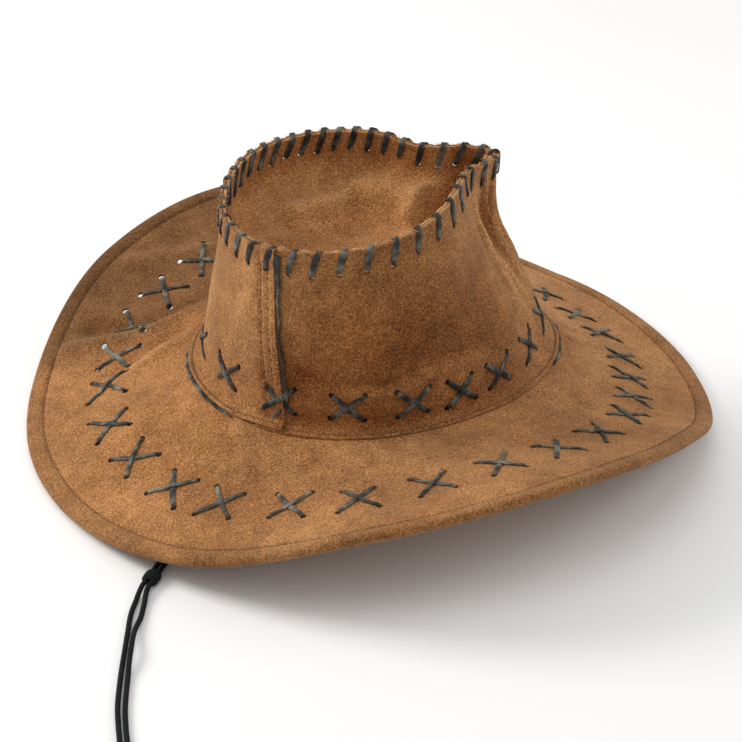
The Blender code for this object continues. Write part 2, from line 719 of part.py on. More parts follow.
def make_chin_cord(look):
    for side, route in (("left", CORD_LEFT_ROUTE), ("right", CORD_RIGHT_ROUTE)):
        add_cord(f"chin_cord_{side}", route, look)
        first, second = Vector(route[0]), Vector(route[1])
        last, before = Vector(route[-1]), Vector(route[-2])
        start_out = (first - second).normalized() * (KNOT_RADIUS + GAP)
        end_out = (last - before).normalized() * (KNOT_RADIUS + GAP)
        add_knot(f"stopper_knot_{side}", first + start_out, look)
        end_centre = last + end_out
        end_centre.z = max(end_centre.z, KNOT_RADIUS)
        add_knot(f"tail_knot_{side}", end_centre, look)
    make_slider(look)


# ---------------------------------------------------------------- the whole hat

def main():
    for existing in list(bpy.data.objects):
        bpy.data.objects.remove(existing, do_unlink=True)
    suede = material("tan_suede", SUEDE_TAN, 0.95)
    leather = material("sweatband_suede", SUEDE_INSIDE, 0.8)
    lace_look = material("dark_lace", LACE_GREY, 0.75)
    thread_look = material("brown_thread", THREAD_BROWN, 0.8)
    cord_look = material("black_cord", CORD_BLACK, 0.6)
    wire_look = material("wire_steel", WIRE_STEEL, 0.35, 1.0)
    make_brim(suede, wire_look, thread_look, lace_look)
    make_crown(suede, thread_look, lace_look)
    make_sweatband(leather, thread_look)
    make_chin_cord(cord_look)


main()
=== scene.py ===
"""Looks of the laced suede western hat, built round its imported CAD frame.

Sizes are in millimetres and are turned into metres when a mesh is made. +X is the front of the hat,
+Y the wearer's left, +Z up. A "direction" is an angle round the head oval in degrees: 0 is the
front, 90 the wearer's left, 180 the back, 270 the wearer's right. The shape functions repeat those
of the CAD source; "skin" functions add the soft relief of worn suede to them.
"""

import json
import math
import random
from bisect import bisect_left
from itertools import accumulate

import bmesh
import bpy
from mathutils import Matrix, Vector, noise
from mathutils.kdtree import KDTree

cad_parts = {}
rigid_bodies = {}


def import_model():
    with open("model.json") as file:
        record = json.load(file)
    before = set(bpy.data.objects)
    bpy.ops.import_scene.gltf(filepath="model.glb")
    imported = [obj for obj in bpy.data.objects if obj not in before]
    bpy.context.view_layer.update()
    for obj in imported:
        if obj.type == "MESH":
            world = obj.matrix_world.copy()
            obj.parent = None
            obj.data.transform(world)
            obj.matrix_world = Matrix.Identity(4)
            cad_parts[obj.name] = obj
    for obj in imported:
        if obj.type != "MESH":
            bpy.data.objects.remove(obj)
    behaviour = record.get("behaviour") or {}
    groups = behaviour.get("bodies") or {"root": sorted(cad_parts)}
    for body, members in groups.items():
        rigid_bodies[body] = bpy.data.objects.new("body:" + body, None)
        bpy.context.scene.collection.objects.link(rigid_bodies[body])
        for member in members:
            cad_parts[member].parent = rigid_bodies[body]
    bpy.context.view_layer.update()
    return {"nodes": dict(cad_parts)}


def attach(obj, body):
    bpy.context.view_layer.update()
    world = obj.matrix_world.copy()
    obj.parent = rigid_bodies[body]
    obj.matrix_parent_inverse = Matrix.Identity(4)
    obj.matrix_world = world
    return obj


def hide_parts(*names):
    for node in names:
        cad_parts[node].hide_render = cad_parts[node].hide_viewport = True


for existing in list(bpy.data.objects):
    bpy.data.objects.remove(existing, do_unlink=True)
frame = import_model()

MM = 0.001
UP = Vector((0, 0, 1))

# ---------------------------------------------------------------- sizes shared with the CAD source

HEAD_LENGTH = 208.0
HEAD_WIDTH = 176.0
FRONT_NARROWING = 0.05
HEAD_CENTRE = Vector((4.5, -0.1, 43.9))

SUEDE = 1.5
GAP = 0.35
SWEATBAND_SUEDE = 1.2

# Values at every 30 degrees round the head, starting at the front
BRIM_REACH = [94, 100, 104, 106, 107, 103, 103, 105, 106, 106, 106, 100]
HEM_CLEARANCE = [0, 1.9, 28, 57, 42, 6, -0.6, 11, 45, 56, 40, 3.8]
BRIM_SAG = [-9, -4, -7, -4, -9, -4, -1, -4, -6, -4, -7, -6]
RIDGE_RADIUS = [80, 55, 58, 71, 82, 85, 88, 85, 79, 67, 55, 55]
RIDGE_HEIGHT = [109, 108, 111, 108, 104, 99, 98, 100.5, 106.5, 113.5, 118, 115.5]
WALL_PINCH = [11, 14, 9, 4, 3, 4.5, 3, 0, 0, 3, 9, 15]

RIDGE_CENTRE_X = -5.0
WALL_LEAN_POWER = 1.5
PINCH_POWER = 1.4
BRIM_INNER_EDGE = -6.5
INNER_EDGE_SLOPE = 0.25

HEM_FOLD_INNER = 1.4
HEM_FOLD_OUTER = HEM_FOLD_INNER + SUEDE
HEM_WIDTH = 10.0
HEM_LOWEST = -0.1
HEM_THREAD_DEPTH = 0.75
HEM_THICKNESS = 2 * HEM_FOLD_OUTER

FLANGE_GAP = 0.36
FOOT_THREAD_OUT = 5.5
SEAM_SLANT = -10.5
SEAM_EDGE = 209.8
SEAM_LAP = 9.0
SEAM_RAMP = 9.0
SEAM_LIFT = SUEDE + GAP
SEAM_THREADS = [203.5, 206.6]
SEAM_LACE = 211.5

FLANGE_DEPTH = 20.0
TIP_GAP = 0.6
TIP_LEVEL = 84.3
TIP_SINK = 13.0
TIP_SINK_POWER = 3.3

LACE_WIDTH = 3.2
LACE_THICKNESS = 0.9
BRIM_CROSS_DIRECTIONS = [356, 6.5, 17, 28.5, 41, 54, 68, 82, 96, 109.5, 122, 135, 146.5, 157.5,
                         172, 185.5, 199, 211, 225, 238, 252.5, 266.5, 280.5, 294, 308, 320.5, 332, 343.5]
BRIM_CROSS_OUT = [49, 50, 53, 56, 55.5, 54.5, 58, 60, 60, 60, 62, 52]
BRIM_CROSS_HALF = (9.0, 9.5)
CROWN_CROSS_DIRECTIONS = [187, 212, 235, 256.5, 273.5, 290, 311.5, 335, 358, 21, 44, 66, 88, 110, 134, 161]
CROWN_CROSS_HEIGHT = 14.0
CROWN_CROSS_HALF = (8.5, 7.0)
WHIP_STITCHES = 40
WHIP_START = 211.0
WHIP_DEPTH = 12.5
WHIP_UNEVENNESS = 0.2

BAND_GAP = 3.2
POCKET_DEPTH = 5.4
POCKET_WIDTH = 14.0
POCKET_DIRECTIONS = [90.0, 270.0]
CORD_HOLE_HEIGHT = 14.0
BAND_FOOT_GAP = 0.65
BAND_FOOT_OUT = -5.5
BAND_THREAD_HEIGHT = 6.0
BAND_TOP = 32.0

CORD_RADIUS = 1.5
CORD_LEFT_ROUTE = [
    (4.5, 77.4, 58), (4.5, 71.5, 58), (4.4, 66, 57), (3.5, 62.5, 52), (1, 61.5, 44), (-2, 61, 30),
    (-6, 60.5, 15), (-13, 58, 4.5), (-27, 50, 1.5), (-52, 33, 1.5), (-80, 8, 1.5), (-106, -22, 1.8),
    (-126, -44, 2.9), (-142, -59.2, 3), (-160, -75.4, 3), (-183, -96.1, 3), (-190.2, -102.8, 3),
    (-197, -111, 1.5), (-203.5, -120, 1.5), (-211.2, -133.9, 1.5), (-217.8, -146, 1.5),
    (-226.1, -161.2, 1.5), (-236.1, -181.2, 1.5), (-241.4, -194.7, 1.5), (-245.4, -206.1, 1.5),
    (-250.5, -220, 1.6), (-254, -229.5, 2.6)]
CORD_RIGHT_ROUTE = [
    (4.5, -77.4, 58), (4.5, -71.5, 58), (4.8, -66, 57), (6, -62.5, 52), (9, -61.5, 44), (14, -60, 30),
    (20, -57, 15), (26, -51, 4.5), (25, -44, 1.5), (12, -36, 1.5), (-8, -33, 1.5), (-30, -35, 1.5),
    (-60, -40, 1.5), (-92, -45, 1.8), (-121, -50, 2.9), (-139.7, -61.7, 3), (-157.7, -77.9, 3),
    (-180.7, -98.6, 3), (-187.9, -105.3, 3), (-193, -113.5, 1.8), (-199.6, -124, 1.7),
    (-207.5, -134.5, 3), (-213.6, -145.5, 4.4), (-219, -155.2, 3.4), (-223.5, -164, 1.8),
    (-232.9, -183, 1.5), (-238.2, -196.1, 1.5), (-242.1, -207.4, 1.5), (-246.2, -221.2, 1.6),
    (-248.6, -231, 1.6), (-251, -240, 2.6)]
BRAID_STRANDS = 8
BRAID_LAY = 6.0             # length of one full turn of a strand
BRAID_RELIEF = 0.12
KNOT_RADIUS = 2.9
KNOT_OVERLAP = 0.6          # how far a drawn knot is moved back onto its cord
KNOT_SPREAD = 1.55
KNOT_WEAVE = 1.35
KNOT_CORD = 1.2
SLIDER_CENTRE = Vector((-182.0, -97.5, 3.0))
SLIDER_HEADING = 42.0
SLIDER_LENGTH = 11.0
SLIDER_WRAPS = 4.5

# ---------------------------------------------------------------- sizes of the fine work

# Run of one whip stitch: share of the way along to where it crosses the ridge (or on from there to the
# next hole), share of the depth, and width
WHIP_OUTER_RUN = [(0.1, 0.7, 1.0), (0.35, 0.38, 1.18), (0.75, 0.08, 1.18)]
WHIP_TOP_RUN = [(-0.03, 0.15), (0.0, 0.5), (0.03, 0.85)]
WHIP_INNER_RUN = [(0.06, 0.08, 1.15), (0.35, 0.36, 1.15), (0.68, 0.68, 1.0), (0.97, 0.96, 0.75)]
FAR_SIDE = 60.8             # direction where the stitches lean most on the outside
WALL_START = 0.055          # share of the wall's height where its rounded foot ends
FOOT_EDGE_OUT = 8.4
FLANGE_GAPS = [(172, 22), (338, 14), (315, 8)]     # where the crown's foot curls off the brim
SEAM_LACE_TAIL = [(0.0, -5.5, 0.5), (0.035, -4.2, 0.7), (0.075, -2.4, 0.75), (0.12, -0.8, 0.8)]
BRIM_COLUMNS, BRIM_ROWS = 420, 46
CROWN_COLUMNS, CROWN_ROWS = 400, 58
TIP_COLUMNS, TIP_ROWS, TIP_FLANGE_ROWS = 260, 44, 12
BAND_COLUMNS, BAND_ROWS = 300, 22
LACE_LIE = 0.62             # height of a lace's middle above the suede that it lies on
LACE_UPPER = 1.45           # the same for the upper lace where two cross
LACE_BEHIND = 0.75          # depth of a lace's middle behind the suede's back
# One arm of a cross between its holes: share of the way, share of the rise over the other arm, width
ARM_RUN = [(0.14, 0.0, 0.9), (0.32, 0.1, 1.0), (0.5, 1.0, 1.0), (0.68, 0.1, 1.04), (0.86, 0.0, 0.86)]
HOLE_RADIUS = 1.75
HOLE_SHIFT = 1.0            # how far a hole reaches past the end of its stitch
HOLE_SIDES = 14
FIBRES_PER_EDGE = 260
SEAM_FIBRES = 160
RIDGE_FIBRE = 2.1           # length of a fibre
SEAM_FIBRE = 1.1
DIMPLE_DEPTH = 0.7
DIMPLE_WIDTH = 2.8
WHIP_PULL = 1.1             # how far each whip stitch draws the ridge down
RIDGE_FRAY = 0.5            # unevenness of the raw ridge, and how much more there is at the back
BACK_FRAY = 0.6
FLAP_DIRECTION = 344        # where a flap of raw edge stands up out of the ridge
FLAP_WIDTH = 2.2            # in degrees
FLAP_HEIGHT = 4.0
BRIM_CREASE_GAIN = 1.6
WALL_GAIN = 1.25
MEAN_CROWN_HEIGHT = 105
STITCH_PITCH = 2.9
STITCH_LENGTH = 2.35
# One stitch: share of its length, height of its middle above the suede, radius
STITCH_PROFILE = [(0.0, -0.45, 0.16), (0.12, -0.12, 0.25), (0.32, 0.05, 0.3), (0.5, 0.09, 0.31),
                  (0.68, 0.05, 0.3), (0.88, -0.12, 0.25), (1.0, -0.45, 0.16)]

# Camera, from the photograph's viewing angle
CAMERA_AZIMUTH = -29.2
CAMERA_ELEVATION = 31.6
CAMERA_ROLL = 1.29
CAMERA_DISTANCE = 1.215
CAMERA_TARGET = Vector((-0.0024, -0.0061, 0.0298))
CAMERA_LENS = 100.8
LIGHT_TARGET = Vector((0.0, 0.0, 0.05))

# Soft folds of the brim: direction, degrees wide, distance out, its spread, height, degrees of skew
BRIM_FOLDS = [
    (171, 3.6, 30, 20, 1.4, 6), (181, 3.0, 32, 18, -1.2, 4), (216, 2.6, 24, 16, 1.3, 8),
    (226, 2.8, 30, 18, -1.3, 9), (243, 3.0, 22, 14, 1.0, 8), (262, 2.6, 26, 16, -0.8, 5),
    (20, 2.6, 36, 22, 1.4, 4), (45, 3.0, 42, 24, -1.4, 5), (75, 3.0, 46, 24, 1.4, 3)]
# Creases of the brim: points as direction and distance out, width, height
BRIM_CREASES = [
    ([(144, 94), (142, 72), (138, 46), (130.5, 30), (122, 22)], 5.5, 2.4),
    ([(138, 78), (133, 50), (125, 33), (117, 24)], 7.0, -2.0),
    ([(157, 52), (153.5, 41), (147, 27), (143, 14)], 5.0, 2.0),
    ([(151, 52), (145, 37), (137, 23)], 5.5, -1.6), ([(120, 88), (113, 74), (105, 62)], 6.0, 1.4),
    ([(350, 5), (343, 11), (342, 18), (345.5, 28), (344.5, 39)], 2.8, 1.5),
    ([(352, 16), (352, 30)], 5.0, -0.9), ([(304, 16), (316, 25.5), (327, 44)], 3.2, 1.0),
    ([(202, 12), (209, 24), (212, 40)], 5.0, 1.3), ([(232, 12), (226, 30)], 4.0, -0.9)]

# Soft folds of the crown wall: direction, degrees wide, share of the height, its spread, height, skew
WALL_FOLDS = [
    (337, 1.5, 0.55, 0.30, 2.4, 3), (341.5, 1.3, 0.62, 0.28, -2.2, 2), (331, 1.7, 0.52, 0.28, -2.0, 5),
    (324, 2.0, 0.60, 0.26, 1.7, 5), (318, 2.0, 0.55, 0.25, -1.3, 5), (347, 1.5, 0.55, 0.28, 2.0, 0),
    (14, 2.2, 0.58, 0.28, 1.7, 0), (25, 2.2, 0.58, 0.28, -1.9, -3), (35, 2.2, 0.55, 0.28, 1.6, -5),
    (192, 5.0, 0.55, 0.3, 1.0, 3), (158, 4.0, 0.5, 0.3, 1.0, -3), (126, 5.0, 0.5, 0.3, -1.0, 3)]
# Creases that run round the wall: direction, its spread, share of the height, its spread, height
WALL_CREASES = [
    (245, 13, 0.222, 0.020, 1.5), (240, 15, 0.275, 0.028, -1.6), (270, 16, 0.245, 0.020, 1.4),
    (272, 18, 0.31, 0.045, -1.4), (221, 7, 0.29, 0.05, -1.3), (290, 12, 0.20, 0.02, 1.0),
    (262, 24, 0.52, 0.06, 0.8), (60, 25, 0.25, 0.03, 1.0), (90, 30, 0.34, 0.04, -1.0),
    (120, 22, 0.24, 0.03, 0.9)]

# Soft ridges and hollows of the sunken tip: points as x and y, width, height
TIP_FOLDS = [
    ([(-38, 43), (-9, 39), (7, 40), (17, 36), (29, 20)], 8.0, 4.4), ([(22, 8), (56, 24), (72, 27)], 6.5, 6.5),
    ([(27, -7), (58, 11), (70, 15)], 6.5, -6.0), ([(-76, 20), (-57, 24), (-40, 18)], 6.0, 1.8),
    ([(-20, 14), (10, 16)], 12.0, -2.0), ([(-60, -22), (-20, -38)], 10.0, 1.5)]


# ---------------------------------------------------------------- shape of the hat, as in the CAD

def between(before, first, second, after, part):
    """A value or vector part of the way from first to second, on a smooth curve through all four."""
    return (first * (2 * part**3 - 3 * part**2 + 1) + (second - before) / 2 * (part**3 - 2 * part**2 + part)
            + second * (3 * part**2 - 2 * part**3) + (after - first) / 2 * (part**3 - part**2))


def around(values, direction):
    """Read a smooth closed curve through values spaced evenly round the head."""
    place = (direction / 360.0) % 1.0 * len(values)
    index = int(place)
    return between(*(values[(index + k) % len(values)] for k in (-1, 0, 1, 2)), place - index)


def oval(direction, out=0.0):
    """A point of the head oval, moved outward by out, as x and y from the head's centre."""
    angle = math.radians(direction)
    half_width = HEAD_WIDTH / 2 * (1 - FRONT_NARROWING * math.cos(angle))
    x = HEAD_LENGTH / 2 * math.cos(angle)
    y = half_width * math.sin(angle)
    slope_x = -HEAD_LENGTH / 2 * math.sin(angle)
    slope_y = half_width * math.cos(angle) + HEAD_WIDTH / 2 * FRONT_NARROWING * math.sin(angle)**2
    size = math.hypot(slope_x, slope_y)
    return x + slope_y / size * out, y - slope_x / size * out


def brim_top(direction, out):
    """A point of the brim's upper face, out millimetres from the head oval."""
    share = out / around(BRIM_REACH, direction)
    rim = max(around(HEM_CLEARANCE, direction), HEM_LOWEST) + HEM_THICKNESS - HEAD_CENTRE.z
    x, y = oval(direction, out)
    height = rim * share + 4 * around(BRIM_SAG, direction) * share * (1 - share)
    if out < 0:
        height *= INNER_EDGE_SLOPE
    return Vector((x, y, height))


def ridge(direction):
    """The outer top edge of the crown."""
    angle = math.radians(direction)
    radius = around(RIDGE_RADIUS, direction)
    x = RIDGE_CENTRE_X + radius * math.cos(angle)
    return Vector((x, radius * math.sin(angle), around(RIDGE_HEIGHT, direction)))


def wall(direction, share):
    """A point of the crown wall's outer face, share of the way from the brim to the ridge."""
    top = ridge(direction)
    x, y = oval(direction)
    above = max(share, 0.0)
    lean = above**WALL_LEAN_POWER
    pinch = around(WALL_PINCH, direction) * math.sin(math.pi * above**PINCH_POWER)
    inner_x, inner_y = oval(direction, -pinch)
    return Vector((inner_x + (top.x - x) * lean, inner_y + (top.y - y) * lean, top.z * share))


def normal_of(surface, direction, place, step):
    """Outward normal of surface(direction, place) from small steps both ways."""
    along = surface(direction + 0.5, place) - surface(direction - 0.5, place)
    up = surface(direction, place + step) - surface(direction, place - step)
    return along.cross(up).normalized()


def wall_normal(direction, share):
    """Outward normal of the crown wall."""
    return normal_of(wall, direction, share, 0.01)


def wall_along(direction, share):
    """The way round the crown wall at a place, level with it."""
    return (wall(direction + 1, share) - wall(direction - 1, share)).normalized()


def seam_lift(turn):
    """How far the outer end of the crown strip stands off, for a turn counted past one round."""
    ramp_start = SEAM_EDGE + 360 - SEAM_LAP - SEAM_RAMP
    return SEAM_LIFT * fade(turn, ramp_start, ramp_start + SEAM_RAMP)


def column(turn, share):
    """The direction of a slanted column of the crown strip at a height."""
    return turn + SEAM_SLANT * (share - 0.5)


def outside_turn(direction, share):
    """The turn of the outermost layer of the crown strip at a place on the wall."""
    turn = (direction - SEAM_SLANT * (share - 0.5)) % 360.0
    return turn + 360.0 if turn < SEAM_EDGE else turn


def spread(first, last, count):
    """Evenly spaced values from first to last."""
    return [first + (last - first) * k / (count - 1) for k in range(count)]


def rounds(count):
    """Evenly spaced directions once round."""
    return [360.0 * k / count for k in range(count)]


def whip_directions():
    """Directions of the whip stitches, evenly spaced along the ridge but closer at one side."""
    turns = [WHIP_START + turn for turn in rounds(1440)] + [WHIP_START + 360.0]
    lengths = [0.0, *accumulate((ridge(second) - ridge(first)).length
                                / (1 - WHIP_UNEVENNESS * math.sin(math.radians(first)))
                                for first, second in zip(turns, turns[1:]))]
    return [turns[max(bisect_left(lengths, lengths[-1] * number / WHIP_STITCHES) - 1, 0)]
            for number in range(WHIP_STITCHES)]


# ---------------------------------------------------------------- soft relief of the suede

def fade(value, start, end):
    """0 before start, 1 after end, smooth between."""
    share = min(max((value - start) / (end - start), 0.0), 1.0)
    return share * share * (3 - 2 * share)


def bell(distance, width):
    """1 at no distance, falling smoothly away over width."""
    return math.exp(-(distance / width)**2)


def away(direction, middle):
    """Signed degrees from middle to direction."""
    return (direction - middle + 180.0) % 360.0 - 180.0


def rough(x, y, z, scale, depth=2):
    """Smooth noise from about -1 to 1 with features of about scale millimetres."""
    return noise.fractal(Vector((x, y, z)) / scale, 0.8, 2.0, depth)


def line_relief(place, lines):
    """Height that soft creases add at a place: each is a line of points, a width and a height."""
    height = 0.0
    for line, width, size in lines:
        nearest = min(segment_distance(place, *pair) for pair in zip(line, line[1:]))
        if nearest < 2.5 * width:
            height += size * bell(nearest, width)
    return height


def segment_distance(place, start, end):
    run = end - start
    part = min(max((place - start).dot(run) / run.length_squared, 0.0), 1.0)
    return (place - start - run * part).length


BRIM_LINES = [([Vector(oval(*point)) for point in line], width, size) for line, width, size in BRIM_CREASES]
# Line from one x and y to another along the tip's steep fold, which gets painted shade
TIP_SHADE = (Vector((30, -6)), Vector((68, 14)))
TIP_LINES = [([Vector(point) for point in line], width, size) for line, width, size in TIP_FOLDS]


def fold_relief(direction, place, folds):
    """Height that skewed folds add at a direction and a place, which is a distance or a share."""
    height = 0.0
    for middle, width, at, reach, size, skew in folds:
        share = bell(place - at, reach)
        if share > 0.01:
            height += size * share * bell(away(direction, middle + skew * (place - at) / reach), width)
    return height


def brim_relief(direction, out):
    """Height of the brim's folds and unevenness above its plain shape."""
    x, y = oval(direction, out)
    height = fold_relief(direction, out, BRIM_FOLDS)
    height += BRIM_CREASE_GAIN * line_relief(Vector((x, y)), BRIM_LINES)
    height += 0.9 * rough(x, y, 3.0, 38.0) + 0.3 * rough(x, y, 9.0, 11.0)
    edge = around(BRIM_REACH, direction) - HEM_WIDTH
    return height * fade(out, 4.0, 12.0) * (1 - 0.9 * fade(out, edge - 6, edge + 3))


def brim_skin(direction, out):
    return brim_top(direction, out) + UP * brim_relief(direction, out)


def crease_relief(direction, share):
    """Height of the crown wall's folds and creases alone."""
    height = fold_relief(direction, share, WALL_FOLDS)
    for middle, width, at, reach, size in WALL_CREASES:
        wander = 0.02 * math.sin(math.radians(direction * 7))
        height += size * bell(away(direction, middle), width) * bell(share - at - wander, reach)
    return height


def wall_relief(direction, share):
    """Height of the crown wall's relief above its plain shape."""
    height = WALL_GAIN * crease_relief(direction, share)
    x, y = oval(direction)
    z = share * MEAN_CROWN_HEIGHT
    height += 0.9 * rough(x, y, z, 40.0) + 0.22 * rough(x, y, z, 12.0)
    return height * fade(share, 0.03, 0.12) * (1 - 0.7 * fade(share, 0.86, 0.98))


WHIPS = whip_directions()


def ridge_dip(direction):
    """How far the whip stitches draw the ridge down here."""
    nearest = min(abs(away(direction, middle)) for middle in WHIPS)
    size = (ridge(direction + 0.5) - ridge(direction - 0.5)).length
    return WHIP_PULL * bell(nearest * size, 3.2)


def wall_skin(direction, share):
    """The crown wall with its relief, without the seam's lap."""
    point = wall(direction, share) + wall_normal(direction, share) * wall_relief(direction, share)
    if share > 0.9:
        point.z -= ridge_dip(direction) * fade(share, 0.9, 1.0)
        frayed = RIDGE_FRAY + BACK_FRAY * bell(away(direction, 180), 40)
        point.z += frayed * rough(point.x, point.y, 0.0, 5.0) * fade(share, 0.97, 1.0)
        point.z += FLAP_HEIGHT * bell(away(direction, FLAP_DIRECTION), FLAP_WIDTH) * fade(share, 0.93, 1.0)
    return point


def crown_skin(direction, share, lift=0.0):
    """A point off the outermost face of the crown wall."""
    stand_off = seam_lift(outside_turn(direction, share)) + lift
    return wall_skin(direction, share) + wall_normal(direction, share) * stand_off


def tip_drop(scale):
    """How far the tip panel is sunk below its edge, from 1 at the edge to 0 in the middle."""
    return TIP_SINK * (1 - scale**TIP_SINK_POWER)


def tip_relief(x, y, scale):
    """Folds of the sunken tip panel."""
    height = line_relief(Vector((x, y)), TIP_LINES)
    height += 1.3 * rough(x, y, 5.0, 34.0) + 0.35 * rough(x, y, 2.0, 10.0)
    return height * (1 - fade(scale, 0.8, 1.0))


# ---------------------------------------------------------------- meshes

def add_object(name, data):
    made = bpy.data.objects.new(name, data)
    bpy.context.scene.collection.objects.link(made)
    return made


def mesh_object(name, builder):
    """Turn a bmesh into an object, and free it."""
    mesh = bpy.data.meshes.new(name)
    builder.to_mesh(mesh)
    builder.free()
    return add_object(name, mesh)


def finish_mesh(name, builder, look, node, body="hat", angle=45.0):
    """Turn a bmesh in world millimetres into a shown piece that rides on a body.

    node is the CAD node that it stands for, if any.
    """
    bmesh.ops.recalc_face_normals(builder, faces=builder.faces)
    bmesh.ops.scale(builder, vec=(MM, MM, MM), verts=builder.verts)
    made = mesh_object(name, builder)
    made.data.shade_smooth()
    made.data.set_sharp_from_angle(angle=math.radians(angle))
    made.data.materials.append(look)
    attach(made, body)
    if node:
        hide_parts(node)
    return made


def skin_faces(builder, rings, closed_across, closed_along):
    """Join rings of vertices into a sheet of quads."""
    across = len(rings[0])
    last_ring = len(rings) if closed_along else len(rings) - 1
    last = across if closed_across else across - 1
    for index in range(last_ring):
        ring, following = rings[index], rings[(index + 1) % len(rings)]
        for k in range(last):
            j = (k + 1) % across
            builder.faces.new((ring[k], ring[j], following[j], following[k]))


def loft(sections, closed_along=False, builder=None):
    """Closed sections in head millimetres, joined into a tube, capped if it is open."""
    builder = builder or bmesh.new()
    rings = [[builder.verts.new(point + HEAD_CENTRE) for point in section] for section in sections]
    skin_faces(builder, rings, True, closed_along)
    if not closed_along:
        builder.faces.new(rings[0])
        builder.faces.new(list(reversed(rings[-1])))
    return builder


def back_face(rows, closed_along, thickness):
    """The other face of a sheet, from a grid of its outer face: rows[column][place]."""
    count, across = len(rows), len(rows[0])
    inner = []
    for index, row in enumerate(rows):
        before = rows[index - 1] if closed_along or index else row
        after = rows[(index + 1) % count] if closed_along or index < count - 1 else row
        inner.append([])
        for k in range(across):
            up = row[min(k + 1, across - 1)] - row[max(k - 1, 0)]
            inner[-1].append(row[k] - (after[k] - before[k]).cross(up).normalized() * thickness)
    return inner


def shell(rows, closed_along, thickness):
    """A sheet of real thickness from a grid of its outer face."""
    inner = back_face(rows, closed_along, thickness)
    return loft([outer + line[::-1] for outer, line in zip(rows, inner)], closed_along)


def press_holes(rows, holes, depth=DIMPLE_DEPTH, width=DIMPLE_WIDTH):
    """Dent a grid of points towards the inside round each lace hole."""
    tree = KDTree(len(holes))
    for index, hole in enumerate(holes):
        tree.insert(hole[0], index)
    tree.balance()
    for row in rows:
        for k, point in enumerate(row):
            centre, index, distance = tree.find(point)
            if distance < 2.5 * width:
                row[k] = point - holes[index][1] * (depth * bell(distance, width))


def pierce(target, holes, reach):
    """Punch round holes through a finished piece. A hole is its centre, axis and radius."""
    builder = bmesh.new()
    for centre, axis, radius in holes:
        side = axis.orthogonal().normalized()
        over = axis.cross(side)
        loft([ring(centre + axis * end, side, over, radius, HOLE_SIDES) for end in (-reach, reach)],
             builder=builder)
    bmesh.ops.recalc_face_normals(builder, faces=builder.faces)
    bmesh.ops.scale(builder, vec=(MM, MM, MM), verts=builder.verts)
    cutter = mesh_object("hole_cutter", builder)
    cut = target.modifiers.new("Holes", "BOOLEAN")
    cut.operation = "DIFFERENCE"
    cut.object = cutter
    bpy.context.view_layer.update()
    evaluated = target.evaluated_get(bpy.context.evaluated_depsgraph_get())
    pierced = bpy.data.meshes.new_from_object(evaluated)
    target.modifiers.clear()
    target.data = pierced
    pierced.set_sharp_from_angle(angle=math.radians(45.0))
    bpy.data.objects.remove(cutter, do_unlink=True)


def paint(target, colour_of):
    """Store per vertex what the suede material reads: its tone, which deepens or pales the colour
    by a gamma of 2 - tone, and its shade, which the colour is multiplied by."""
    # The tone and shade that colour_of gives carry painted light and shade as well as the suede's own colour
    painted = [colour_of(vertex.co / MM - HEAD_CENTRE) for vertex in target.data.vertices]
    for name, values in zip(("tone", "shade"), zip(*painted)):
        target.data.attributes.new(name, "FLOAT", "POINT").data.foreach_set("value", values)


def smooth_path(points, steps, closed=False):
    """A finer path of vectors through the given ones."""
    count = len(points)
    found = []
    for k in range(count if closed else count - 1):
        near = [points[(k + j) % count if closed else min(max(k + j, 0), count - 1)] for j in (-1, 0, 1, 2)]
        found += [between(*near, step / steps) for step in range(steps)]
    return found if closed else found + [points[-1]]


def run_lengths(points):
    """Length along a path up to each of its points."""
    return [0.0, *accumulate((second - first).length for first, second in zip(points, points[1:]))]


def at_length(points, lengths, wanted):
    """The point at a length along a path, and the number of the point before it."""
    k = min(max(bisect_left(lengths, wanted) - 1, 0), len(points) - 2)
    part = (wanted - lengths[k]) / (lengths[k + 1] - lengths[k])
    return points[k].lerp(points[k + 1], min(part, 1.0)), k


def even_path(points, pitch):
    """Points a fixed pitch apart along a dense path."""
    lengths = run_lengths(points)
    count = max(int(lengths[-1] / pitch), 2)
    return [at_length(points, lengths, lengths[-1] * number / count)[0] for number in range(count + 1)]


def section_frames(path, closed=False):
    """(along, side, over) for each point of a path, turning as little as it can."""
    count = len(path)
    frames = []
    side = None
    for index in range(count):
        before = path[index - 1] if closed or index else path[0]
        after = path[(index + 1) % count] if closed or index < count - 1 else path[-1]
        along = (after - before).normalized()
        if side is None:
            side = along.cross(UP)
            if side.length < 0.1:
                side = along.cross(Vector((1, 0, 0)))
        side = (side - along * side.dot(along)).normalized()
        frames.append((along, side, side.cross(along)))
    return frames


def ring(centre, side, over, radius, sides):
    """Points of a section round a centre. radius is a number, or a function of the angle."""
    turns = [2 * math.pi * k / sides for k in range(sides)]
    return [centre + (side * math.cos(a) + over * math.sin(a)) * (radius(a) if callable(radius) else radius)
            for a in turns]


def tube(path, radii, sides, closed=False):
    """Round sections along a path. radii is one number or one for each point."""
    if isinstance(radii, float):
        radii = [radii] * len(path)
    return [ring(centre, side, over, radius, sides)
            for (along, side, over), centre, radius in zip(section_frames(path, closed), path, radii)]


def tapered(count, radius, taper):
    """Radii along a tube that is thinner at both ends by a share of its radius."""
    ends = [min(index, count - 1 - index) / (count - 1) * 2 for index in range(count)]
    return [radius * (1 - taper * (1 - fade(end, 0.0, 0.4))) for end in ends]


# ---------------------------------------------------------------- materials

